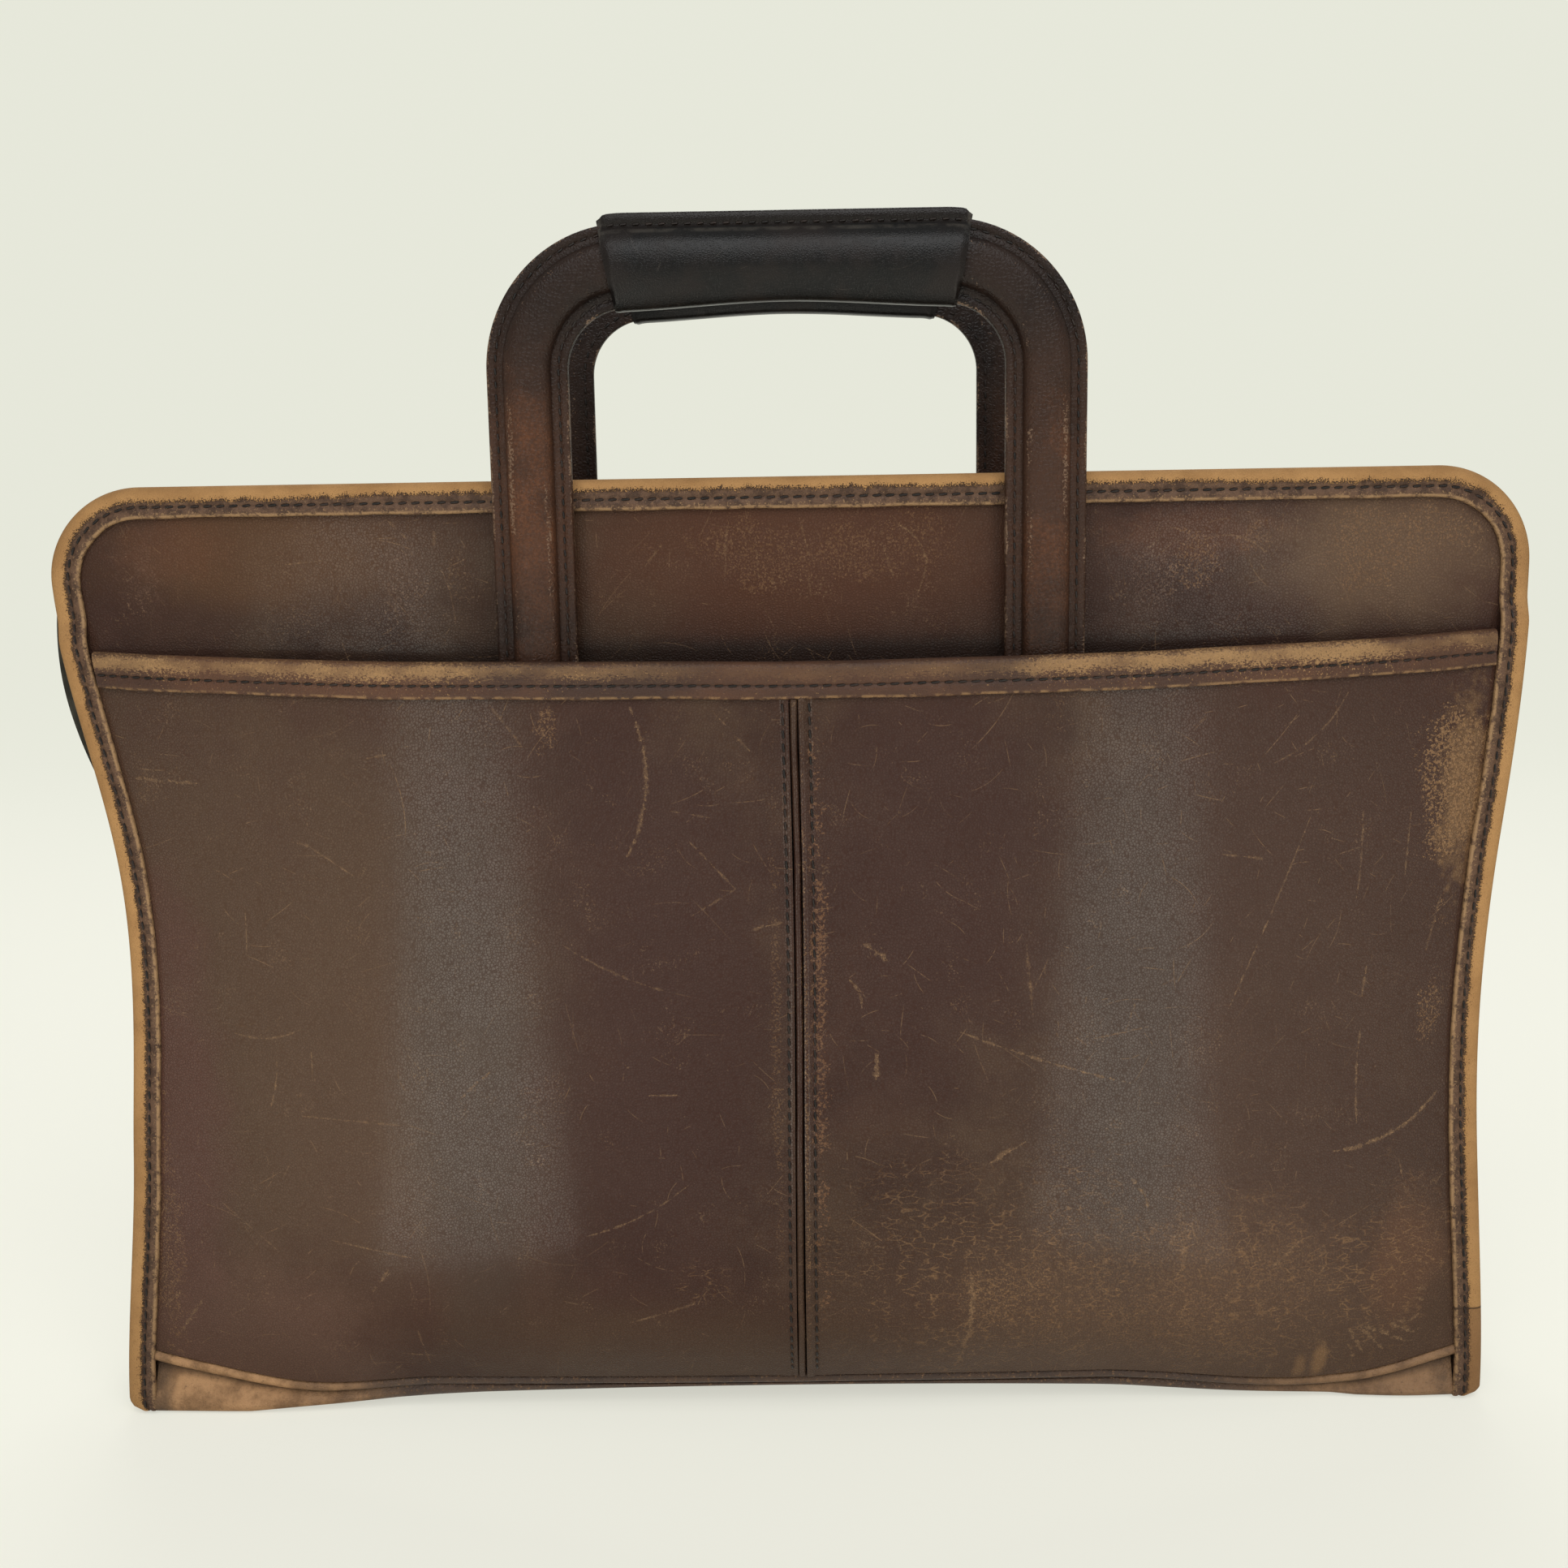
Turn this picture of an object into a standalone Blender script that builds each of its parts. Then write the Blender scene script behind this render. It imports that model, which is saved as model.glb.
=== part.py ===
"""Leather briefcase that opens along a zip round its mouth.

Two bowed panels meet at an arched base. Each carries an outside pocket, and inside each pocket two
keepers guide the legs of a padded handle, which slides down until its grip rests above the pocket.

X runs across the case, the front faces -Y, Z is up and z = 0 is the floor under the base.
Depths are distances from the middle plane y = 0, so front and back share every formula.
"""

import math

import bmesh
import bpy
from mathutils import Vector

MM = 0.001

# Fits between pieces
GAP = 0.3 * MM  # sewn together or lying face to face
SLIDE_FIT = 0.5 * MM  # round a handle where it slides

# Outline of the case, measured outside the edge binding
CASE_WIDTH = 431 * MM  # over the mouth
BASE_WIDTH = 423 * MM
CASE_HEIGHT = 288 * MM
WAIST = 9.5 * MM  # how far each side draws in
WAIST_HEIGHT = 115 * MM
CORNER_RADIUS = 28 * MM
SIDE_DEPTH = 34 * MM  # over both panels at the side edges
CROWN = 5 * MM  # extra depth of each panel at its middle

# Leather thicknesses
PANEL_LEATHER = 2.2 * MM
POCKET_LEATHER = 2.0 * MM
BINDING_LEATHER = 1.4 * MM
GUSSET_LEATHER = 1.5 * MM
KEEPER_LEATHER = 1.2 * MM
GRIP_LEATHER = 1.4 * MM
BASE_LEATHER = 2.2 * MM

# Edge binding
BINDING_WIDTH = 9 * MM
BINDING_FOOT = 1.2 * MM  # height of its lower ends above the floor
STEP_RUN = 9 * MM  # height over which it steps down above the pocket's mouth

# Base
SEAM_MIDDLE = 11 * MM  # height of the bottom seam at mid width
SEAM_END = 19 * MM  # and at the corners
SEAM_POWER = 8
BASE_ARCH = 6.5 * MM
FOOT_LENGTH = 30 * MM  # flat run at each end that the case stands on
WELT_RADIUS = 1.5 * MM
BOARD_THICKNESS = 2 * MM

# Outside pockets
POCKET_MIDDLE = 236.5 * MM  # height of the mouth at mid width
POCKET_RISE = 4.5 * MM  # how much higher it is at the sides
POCKET_RIM = 10.5 * MM
POCKET_RAMP = 45 * MM  # height over which the pocket reaches its full depth
CENTRE_WELT_RADIUS = 1.1 * MM

# Handles
HANDLE_WIDTH = 169 * MM  # over the outside of the legs
HANDLE_TOP = 358 * MM
HANDLE_RADIUS = 37 * MM  # outside of the bends
STRAP_WIDTH = 23 * MM
STRAP_LEATHER = 1.4 * MM
RIDGE_WIDTH = 13.5 * MM
RIDGE_HEIGHT = 7.2 * MM
GRIP_LENGTH = 104 * MM
GRIP_SWELL = 1.8 * MM  # padding over the ridge
GRIP_FIN = 2.4 * MM  # stitched edge above the strap
KEEPER_LOW = 170 * MM
KEEPER_HIGH = 200 * MM
KEEPER_FOOT = 7 * MM
STOP_HEIGHT = 14 * MM
STOP_WALL = 1.6 * MM

# Zip
ZIP_INSET = 7.5 * MM  # from the outline to the tape
ZIP_FOOT = 192 * MM  # where the tape ends on each side
TAPE_THICKNESS = 0.8 * MM
TAPE_EDGE = 6.3 * MM  # depth at which the tape gives way to the teeth
TOOTH_PITCH = 5 * MM
TOOTH_ROOT = 4.9 * MM
TOOTH_TIP = 2.4 * MM
TOOTH_HEIGHT = 2.4 * MM
SLIDER_LENGTH = 14 * MM
SLIDER_WIDTH = 15 * MM
SLIDER_WALL = 1.2 * MM
SLIDER_CLEARANCE = 0.6 * MM
SLIDER_POST = 2.6 * MM
SLIDER_MARGIN = 50.5 * MM  # from the right side to where it is parked
EYE_BAR = 1.6 * MM
EYE_FIT = 0.4 * MM
PULL_LENGTH = 27 * MM
PULL_WIDTH = 7.6 * MM

# Gussets
GUSSET_TOP = 188 * MM
OPEN_ANGLE = math.radians(14)  # how far the front swings out before the pleats are taut

# Numbers of steps along curved runs
SIDE_STEPS = 10
CORNER_STEPS = 6
TOP_STEPS = 8
PANEL_COLUMNS = 12
POCKET_COLUMNS = 7
BEND_STEPS = 6

FRONT, BACK = -1, 1
NAMES = {FRONT: "front", BACK: "back"}


def lerp(a, b, t):
    """The value a share t of the way from a to b."""
    return a + (b - a) * t


def smooth(t):
    """An eased step from 0 to 1."""
    t = min(1, max(0, t))
    return t * t * (3 - 2 * t)


SHOULDER = CASE_HEIGHT - CORNER_RADIUS
HALF_WIDTH = CASE_WIDTH / 2
PANEL_INSET = BINDING_LEATHER + 2 * GAP  # from the outline to the leather's edge in the binding
BASE_CLEAR = 2 * GAP  # between the base's ends and the binding that swings past them
SEAM_CLEAR = WELT_RADIUS + 2 * GAP
POCKET_LIFT = 3 * GAP  # least space behind the pocket, at its sewn sides
ZIP_HEIGHT = CASE_HEIGHT - ZIP_INSET
SLIDER_PLACE = HALF_WIDTH - SLIDER_MARGIN
WAIST_POWER = math.log(0.5) / math.log(WAIST_HEIGHT / SHOULDER)


def side_at(z):
    """Half width of the outline below the shoulder."""
    share = min(1, max(0, z / SHOULDER))
    straight = lerp(BASE_WIDTH / 2, HALF_WIDTH, smooth(share))
    return straight - WAIST * math.sin(math.pi * share**WAIST_POWER) ** 2


def base_half(z):
    """Half width of the base, which ends just inside the edge binding."""
    return side_at(z) - BINDING_WIDTH - BASE_CLEAR


BASE_HALF = base_half(SEAM_END + WELT_RADIUS)


def half_at(z, inset):
    """Half width at a height, this far inside the outline."""
    if z <= SHOULDER:
        return side_at(z) - inset
    radius = CORNER_RADIUS - inset
    rise = min(radius, z - SHOULDER)
    return HALF_WIDTH - CORNER_RADIUS + math.sqrt(radius * radius - rise * rise)


def face(x):
    """Depth of a panel's outer face."""
    return SIDE_DEPTH / 2 + CROWN * (1 - min(1, abs(x) / HALF_WIDTH) ** 2)


def inner_depth(x):
    """Depth just inside the back flange of the edge binding, where gussets and tapes are sewn."""
    return face(x) - PANEL_LEATHER - 2 * GAP - BINDING_LEATHER


def seam(x):
    """Height of the bottom seam."""
    return lerp(SEAM_MIDDLE, SEAM_END, min(1, abs(x) / BASE_HALF) ** SEAM_POWER)


def arch(x):
    """Height of the base's underside."""
    share = min(1, abs(x) / (BASE_HALF - FOOT_LENGTH))
    return BASE_ARCH * (1 - share * share)


def pocket_top(x):
    """Height of a pocket's mouth."""
    return POCKET_MIDDLE + POCKET_RISE * (x / HALF_WIDTH) ** 2


# Places along the handle that follow from the sizes above
LEG_X = (HANDLE_WIDTH - STRAP_WIDTH) / 2
BEND_RADIUS = HANDLE_RADIUS - STRAP_WIDTH / 2
BEND_X = LEG_X - BEND_RADIUS
BEND_Z = HANDLE_TOP - HANDLE_RADIUS
FLANGE = 2 * STRAP_LEATHER + GAP
STRAP_BACK = (
    face(LEG_X - STRAP_WIDTH / 2) + GAP + BINDING_LEATHER + SLIDE_FIT + GRIP_LEATHER + GAP
)
RIDGE_FRONT = STRAP_BACK + RIDGE_HEIGHT
STOP_TOP = KEEPER_LOW - GAP
LEG_END = STOP_TOP - STOP_HEIGHT + STOP_WALL + GAP
STOP_HALF = STRAP_WIDTH / 2 + GAP + STOP_WALL
POCKET_FULL = (
    RIDGE_FRONT + SLIDE_FIT + max(STOP_WALL, KEEPER_LEATHER) + 2 * GAP - face(LEG_X + STOP_HALF)
)


def pocket_side(z):
    """Half width at which the pocket leaves the edge binding."""
    return half_at(z, BINDING_WIDTH)


POCKET_BULGE = (POCKET_FULL - POCKET_LIFT) / (
    1 - ((LEG_X + STOP_HALF) / pocket_side(KEEPER_LOW)) ** 3
)


def pocket_gap(x, z):
    """Space between a panel and the pocket over it."""
    across = 1 - min(1, abs(x) / pocket_side(z)) ** 3
    up = math.sin(math.pi / 2 * min(1, max(0, z - seam(x)) / POCKET_RAMP))
    return POCKET_LIFT + POCKET_BULGE * across * up


def outline(inset, foot):
    """Points up the left side, over the top and down the right, as x, z and the outward normal."""
    left = []
    step = pocket_top(HALF_WIDTH) + MM
    heights = [lerp(foot, step, i / SIDE_STEPS) for i in range(SIDE_STEPS)]
    for z in heights + [step, step + STEP_RUN]:
        slope = (side_at(z + MM) - side_at(z - MM)) / (2 * MM)
        length = math.hypot(1, slope)
        left.append((-side_at(z), z, -1 / length, -slope / length))
    for i in range(CORNER_STEPS + 1):
        angle = math.pi - math.pi / 2 * i / CORNER_STEPS
        nx, nz = math.cos(angle), math.sin(angle)
        x = CORNER_RADIUS - HALF_WIDTH + CORNER_RADIUS * nx
        left.append((x, SHOULDER + CORNER_RADIUS * nz, nx, nz))
    flat = HALF_WIDTH - CORNER_RADIUS
    top = [(lerp(-flat, flat, i / TOP_STEPS), CASE_HEIGHT, 0, 1) for i in range(1, TOP_STEPS)]
    right = [(-x, z, -nx, nz) for x, z, nx, nz in reversed(left)]
    return [(x - inset * nx, z - inset * nz, nx, nz) for x, z, nx, nz in left + top + right]


def resample(path, pitch):
    """The same path as equal steps of about the pitch."""
    lengths = [0]
    for a, b in zip(path, path[1:]):
        lengths.append(lengths[-1] + math.hypot(b[0] - a[0], b[1] - a[1]))
    count = round(lengths[-1] / pitch)
    points = []
    part = 0
    for i in range(count + 1):
        place = lengths[-1] * i / count
        while part < len(path) - 2 and lengths[part + 1] < place:
            part += 1
        share = (place - lengths[part]) / (lengths[part + 1] - lengths[part])
        points.append(tuple(lerp(a, b, share) for a, b in zip(path[part], path[part + 1])))
    return points


def material(name, colour, roughness, metallic=0):
    """A plain Principled material."""
    made = bpy.data.materials.new(name)
    made.use_nodes = True
    shader = made.node_tree.nodes["Principled BSDF"]
    shader.inputs["Base Color"].default_value = (*colour, 1)
    shader.inputs["Roughness"].default_value = roughness
    shader.inputs["Metallic"].default_value = metallic
    return made


class Body:
    """A rigid group of pieces with its pivot empty on the joint that moves it."""

    def __init__(self, name, pivot, parent=None):
        self.pivot = Vector(pivot)
        self.empty = bpy.data.objects.new(name, None)
        self.empty.empty_display_size = 0.02
        self.empty.location = self.pivot - (parent.pivot if parent else Vector())
        self.empty.parent = parent.empty if parent else None
        bpy.context.collection.objects.link(self.empty)

    def add(self, name, mesh, finish):
        """Names a built mesh, faces it outwards and hangs it on this body."""
        bmesh.ops.recalc_face_normals(mesh, faces=mesh.faces)
        bmesh.ops.translate(mesh, verts=mesh.verts, vec=-self.pivot)
        data = bpy.data.meshes.new(name)
        mesh.to_mesh(data)
        mesh.free()
        data.shade_smooth()
        data.set_sharp_from_angle(angle=math.radians(35))
        data.materials.append(finish)
        piece = bpy.data.objects.new(name, data)
        piece.parent = self.empty
        bpy.context.collection.objects.link(piece)
        return piece


def slab(outer, inner):
    """A closed sheet between two grids of points with the same rows and columns."""
    mesh = bmesh.new()
    rows, columns = len(outer), len(outer[0])
    front = [[mesh.verts.new(p) for p in row] for row in outer]
    back = [[mesh.verts.new(p) for p in row] for row in inner]
    for r in range(rows - 1):
        for c in range(columns - 1):
            mesh.faces.new((front[r][c], front[r][c + 1], front[r + 1][c + 1], front[r + 1][c]))
            mesh.faces.new((back[r][c], back[r + 1][c], back[r + 1][c + 1], back[r][c + 1]))
    for r in range(rows - 1):
        for c in (0, columns - 1):
            mesh.faces.new((front[r][c], front[r + 1][c], back[r + 1][c], back[r][c]))
    for c in range(columns - 1):
        for r in (0, rows - 1):
            mesh.faces.new((front[r][c], back[r][c], back[r][c + 1], front[r][c + 1]))
    return mesh


def loft(sections):
    """A closed solid through loops of points, with a flat cap at each end."""
    mesh = bmesh.new()
    loops = [[mesh.verts.new(p) for p in loop] for loop in sections]
    count = len(loops[0])
    for low, high in zip(loops, loops[1:]):
        for i in range(count):
            j = (i + 1) % count
            mesh.faces.new((low[i], low[j], high[j], high[i]))
    mesh.faces.new(loops[0])
    mesh.faces.new(loops[-1])
    return mesh


def sleeve(outer, inner):
    """A tube with a wall, open at both ends, through pairs of loops."""
    mesh = bmesh.new()
    outside = [[mesh.verts.new(p) for p in loop] for loop in outer]
    inside = [[mesh.verts.new(p) for p in loop] for loop in inner]
    count = len(outside[0])
    for loops in (outside, inside):
        for low, high in zip(loops, loops[1:]):
            for i in range(count):
                j = (i + 1) % count
                mesh.faces.new((low[i], low[j], high[j], high[i]))
    for end in (0, -1):
        for i in range(count):
            j = (i + 1) % count
            mesh.faces.new((outside[end][i], outside[end][j], inside[end][j], inside[end][i]))
    return mesh


def block(low, high):
    """A box between two corners."""
    mesh = bmesh.new()
    bmesh.ops.create_cube(mesh, size=1)
    for vert in mesh.verts:
        vert.co = [lerp(a, b, c + 0.5) for a, b, c in zip(low, high, vert.co)]
    return mesh


def join(piece, others):
    """Unites helper pieces with a piece, then drops the helpers."""
    for helper in others:
        union = piece.modifiers.new(helper.name, "BOOLEAN")
        union.operation = "UNION"
        union.solver = "EXACT"
        union.object = helper
        helper.hide_render = True
        helper.display_type = "WIRE"


def cut(piece, helper):
    """Cuts a helper out of a piece."""
    difference = piece.modifiers.new(helper.name, "BOOLEAN")
    difference.operation = "DIFFERENCE"
    difference.solver = "EXACT"
    difference.object = helper
    helper.hide_render = True
    helper.display_type = "WIRE"


def spread(count):
    """Shares from -1 to 1 that lie closer together near the ends."""
    return [math.sin(math.pi / 2 * lerp(-1, 1, i / count)) for i in range(count + 1)]


def build_base(case, finish):
    """The arched leather tray that joins the two panels, and the board that stiffens it."""
    outer, inner = [], []
    for share in spread(20):
        x = share * BASE_HALF
        foot = share * base_half(0)
        depth, low, top = face(x), arch(x), seam(x) - SEAM_CLEAR
        outer.append([(x, -depth, top), (foot, -depth, low), (foot, depth, low), (x, depth, top)])
        depth -= BASE_LEATHER
        low += BASE_LEATHER
        inner.append([(x, -depth, top), (foot, -depth, low), (foot, depth, low), (x, depth, top)])
    case.add("base_leather", slab(outer, inner), finish["base"])
    low_grid, high_grid = [], []
    for i in range(15):
        x = lerp(-1, 1, i / 14) * (BASE_HALF - 3 * MM)
        depth = face(x) - BASE_LEATHER - 4 * MM
        z = arch(x) + BASE_LEATHER + GAP + 0.3 * MM
        low_grid.append([(x, -depth, z), (x, depth, z)])
        high_grid.append([(x, -depth, z + BOARD_THICKNESS), (x, depth, z + BOARD_THICKNESS)])
    case.add("base_board", slab(low_grid, high_grid), finish["board"])


def build_bottom_welt(case, side, finish):
    """The piping in the seam between a panel and the base."""
    sections = []
    for share in spread(24):
        x = share * BASE_HALF
        loop = []
        for i in range(6):
            angle = math.pi / 3 * (i + 0.5)
            depth = face(x) + WELT_RADIUS * math.cos(angle)
            loop.append((x, side * depth, seam(x) + WELT_RADIUS * math.sin(angle)))
        sections.append(loop)
    case.add(f"{NAMES[side]}_bottom_welt", loft(sections), finish["base"])


def build_panel(body, side, finish):
    """The bowed main panel of one face."""
    edge = outline(PANEL_INSET, BINDING_FOOT)[: SIDE_STEPS + CORNER_STEPS + 3]
    low = SEAM_END + SEAM_CLEAR
    rows = [(half_at(low, PANEL_INSET), 0)]
    rows += [(-x, z) for x, z, nx, nz in edge if z > low + 2 * MM]
    outer, inner = [], []
    for half, z in rows:
        outer.append([])
        inner.append([])
        for share in spread(PANEL_COLUMNS):
            x = share * half
            height = max(z, seam(x) + SEAM_CLEAR)
            outer[-1].append((x, side * face(x), height))
            inner[-1].append((x, side * (face(x) - PANEL_LEATHER), height))
    body.add(f"{NAMES[side]}_panel", slab(outer, inner), finish["panel"])


def binding_profile(extra):
    """Loop of the edge binding as inset from the outline and offset from the panel's outer face."""
    front = extra + GAP
    back = -(PANEL_LEATHER + GAP)
    wall = BINDING_LEATHER
    return [
        (BINDING_WIDTH, front + wall),
        (2.4 * MM, front + wall),
        (0.7 * MM, front + 0.35 * wall),
        (0, (front + back) / 2),
        (0.7 * MM, back - 0.35 * wall),
        (2.4 * MM, back - wall),
        (BINDING_WIDTH, back - wall),
        (BINDING_WIDTH, back),
        (wall, back),
        (wall, front),
        (BINDING_WIDTH, front),
    ]


def build_edge_binding(body, side, finish):
    """The channel of leather folded round a panel's sides and top."""
    sections = []
    pocket_end = pocket_top(HALF_WIDTH)
    for x, z, nx, nz in outline(0, BINDING_FOOT):
        covered = 1 - smooth((z - pocket_end - MM) / STEP_RUN)
        loop = []
        for inset, offset in binding_profile(covered * (POCKET_LIFT + POCKET_LEATHER)):
            px = x - inset * nx
            loop.append((px, side * (face(px) + offset), z - inset * nz))
        sections.append(loop)
    body.add(f"{NAMES[side]}_edge_binding", loft(sections), finish["binding"])


def build_pocket_half(body, side, hand, finish):
    """One half of a pocket, from the centre welt to the edge binding."""
    rows = [0, 0.05, 0.1, 0.16, 0.24, 0.36, 0.48, 0.6, 0.72, 0.86, 1]
    inside = CENTRE_WELT_RADIUS + GAP
    outer, inner = [], []
    for share in rows:
        level = lerp(SEAM_END, pocket_top(HALF_WIDTH), share)
        edge = pocket_side(level)
        columns = [
            lerp(inside, edge, math.sin(math.pi / 2 * i / POCKET_COLUMNS))
            for i in range(POCKET_COLUMNS + 1)
        ]
        columns.append(half_at(level, PANEL_INSET + GAP))
        outer.append([])
        inner.append([])
        for x in columns:
            z = lerp(seam(x) + SEAM_CLEAR, pocket_top(x) - PANEL_INSET, share)
            depth = face(x) + pocket_gap(x, z)
            inner[-1].append((hand * x, side * depth, z))
            outer[-1].append((hand * x, side * (depth + POCKET_LEATHER), z))
    name = f"{NAMES[side]}_pocket_{'left' if hand < 0 else 'right'}"
    body.add(name, slab(outer, inner), finish["pocket"])


def build_pocket_rim(body, side, finish):
    """The binding folded over a pocket's mouth, skived thin inside where the pocket meets the panel."""
    sections = []
    for share in spread(14):
        x = share * (pocket_side(pocket_top(HALF_WIDTH) - POCKET_RIM) - 2 * GAP)
        top = pocket_top(x)
        room = pocket_gap(x, top)
        outer = face(x) + room + POCKET_LEATHER
        thin = max(GAP, min(BINDING_LEATHER, room - 2 * GAP))
        front = outer + GAP
        back = outer - POCKET_LEATHER - GAP
        fold = top - BINDING_LEATHER
        profile = [
            (front + BINDING_LEATHER, top - POCKET_RIM),
            (front + BINDING_LEATHER, top - 0.9 * MM),
            (outer, top),
            (back, top),
            (back - thin, top - 0.9 * MM),
            (back - thin, top - POCKET_RIM + 2 * MM),
            (back, top - POCKET_RIM + 2 * MM),
            (back, fold),
            (front, fold),
            (front, top - POCKET_RIM),
        ]
        sections.append([(x, side * depth, z) for depth, z in profile])
    body.add(f"{NAMES[side]}_pocket_rim", loft(sections), finish["binding"])


def build_centre_welt(body, side, finish):
    """The raised seam between the two halves of a pocket."""
    low = seam(0) + SEAM_CLEAR
    high = pocket_top(0) - POCKET_RIM - GAP
    sections = []
    for share in (0, 0.05, 0.1, 0.16, 0.22, 0.6, 1):
        z = lerp(low, high, share)
        depth = face(0) + pocket_gap(0, z) + POCKET_LEATHER * 0.7
        loop = []
        for i in range(8):
            angle = math.pi / 4 * i
            reach = CENTRE_WELT_RADIUS * math.sin(angle)
            loop.append((CENTRE_WELT_RADIUS * math.cos(angle), side * (depth + reach), z))
        sections.append(loop)
    body.add(f"{NAMES[side]}_centre_welt", loft(sections), finish["pocket"])


def build_keeper(body, side, hand, finish):
    """The loop on a panel that guides one leg of a handle inside the pocket."""
    inside = STRAP_WIDTH / 2 + SLIDE_FIT
    ridge = RIDGE_WIDTH / 2 + SLIDE_FIT
    roof = RIDGE_FRONT + SLIDE_FIT
    shelf = STRAP_BACK + FLANGE + SLIDE_FIT
    wall = KEEPER_LEATHER
    reach = inside + wall + KEEPER_FOOT

    def foot(offset):
        return face(LEG_X + offset) + GAP

    half = [(reach, None), (inside + wall, None), (inside + wall, shelf + wall)]
    half += [(ridge + wall, shelf + wall), (ridge * 0.8 + wall, roof + wall)]
    lining = [(reach, None), (inside, None), (inside, shelf), (ridge, shelf), (ridge * 0.8, roof)]
    outer, inner = [], []
    for z in (KEEPER_LOW, KEEPER_HIGH):
        rows = []
        for profile, lift in ((half, wall), (lining, 0)):
            points = []
            for sign in (-1, 1):
                line = profile if sign < 0 else profile[::-1]
                for offset, depth in line:
                    across = sign * offset
                    level = foot(across) + lift if depth is None else depth
                    points.append((hand * (LEG_X + across), side * level, z))
            rows.append(points)
        outer.append(rows[0])
        inner.append(rows[1])
    name = f"{NAMES[side]}_keeper_{'left' if hand < 0 else 'right'}"
    body.add(name, slab(outer, inner), finish["lining"])


def handle_path():
    """Points along a handle's middle line as x, z and the outward normal, from leg end to leg end."""
    left = [(-LEG_X, LEG_END, -1, 0)]
    for i in range(BEND_STEPS + 1):
        angle = math.pi - math.pi / 2 * i / BEND_STEPS
        nx, nz = math.cos(angle), math.sin(angle)
        left.append((-BEND_X + BEND_RADIUS * nx, BEND_Z + BEND_RADIUS * nz, nx, nz))
    return left + [(-x, z, -nx, nz) for x, z, nx, nz in reversed(left)]


def swept(path, profile, side):
    """Sections of a profile of across and depth pairs along a handle path."""
    return [
        [(x + across * nx, side * depth, z + across * nz) for across, depth in profile]
        for x, z, nx, nz in path
    ]


def ridge_arc(half, low, high, count=5):
    """Points over a half ellipse from +half to -half."""
    angles = [math.pi * i / (count - 1) for i in range(count)]
    return [(half * math.cos(a), low + (high - low) * math.sin(a)) for a in angles]


def build_handle(body, side, finish):
    """Cover, backing and core of a handle, its grip and the stops on its legs."""
    path = handle_path()
    half = STRAP_WIDTH / 2
    name = f"{NAMES[side]}_handle"
    seat = STRAP_BACK + STRAP_LEATHER + GAP
    top = STRAP_BACK + FLANGE
    backing = [(half, STRAP_BACK), (half, STRAP_BACK + STRAP_LEATHER)]
    backing += [(-half, STRAP_BACK + STRAP_LEATHER), (-half, STRAP_BACK)]
    body.add(f"{name}_backing", loft(swept(path, backing, side)), finish["handle"])
    hollow = RIDGE_WIDTH / 2 - STRAP_LEATHER
    cover = [(half, seat), (half, top)]
    cover += ridge_arc(RIDGE_WIDTH / 2, top, RIDGE_FRONT)
    cover += [(-half, top), (-half, seat)]
    cover += ridge_arc(hollow, seat, RIDGE_FRONT - STRAP_LEATHER)[::-1]
    body.add(f"{name}_cover", loft(swept(path, cover, side)), finish["handle"])
    core = ridge_arc(hollow - GAP * 2, seat + GAP, RIDGE_FRONT - STRAP_LEATHER - GAP * 2)
    body.add(f"{name}_core", loft(swept(path, core, side)), finish["core"])
    build_grip(body, side, finish)
    for hand in (-1, 1):
        build_stop(body, side, hand, finish)


def build_grip(body, side, finish):
    """The padded leather sleeve sewn round the top of a handle, with its stitched fin on top."""
    half = STRAP_WIDTH / 2 + GAP
    low = STRAP_BACK - GAP
    shelf = STRAP_BACK + FLANGE + GAP
    roof = RIDGE_FRONT + GAP
    ridge = RIDGE_WIDTH / 2 + GAP
    wall = GRIP_LEATHER
    swell = roof + GRIP_SWELL
    inner = [(half, low), (half, shelf), (ridge, shelf)]
    inner += [(ridge * 0.75, lerp(shelf, roof, 0.75)), (0, roof + 0.1 * MM)]
    inner += [(-ridge * 0.75, lerp(shelf, roof, 0.75)), (-ridge, shelf)]
    inner += [(-half, shelf), (-half, low), (0, low)]
    fin = half + GRIP_FIN
    outer = [(fin, lerp(low, shelf, 0.1)), (fin, lerp(low, shelf, 0.9))]
    outer += [(half - 1.5 * MM, shelf + wall), (ridge * 0.8, lerp(shelf, swell, 0.9))]
    outer += [(0, swell), (-ridge * 0.9, lerp(shelf, swell, 0.92))]
    outer += [(-half + 1.2 * MM, shelf + 2.2 * wall), (-half - wall, lerp(low, shelf, 0.8))]
    outer += [(-half - 0.8 * wall, low - 0.5 * wall), (0, low - wall)]
    turn = (GRIP_LENGTH / 2 - BEND_X) / HANDLE_RADIUS
    path = []
    for sign in (-1, 1):
        for share in (1, 0.5, 0):
            angle = math.pi / 2 - sign * share * turn
            nx, nz = math.cos(angle), math.sin(angle)
            path.append((sign * BEND_X + BEND_RADIUS * nx, BEND_Z + BEND_RADIUS * nz, nx, nz))
    path = path[:3] + path[:2:-1]
    tube = sleeve(swept(path, outer, side), swept(path, inner, side))
    body.add(f"{NAMES[side]}_handle_grip", tube, finish["handle"])


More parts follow.
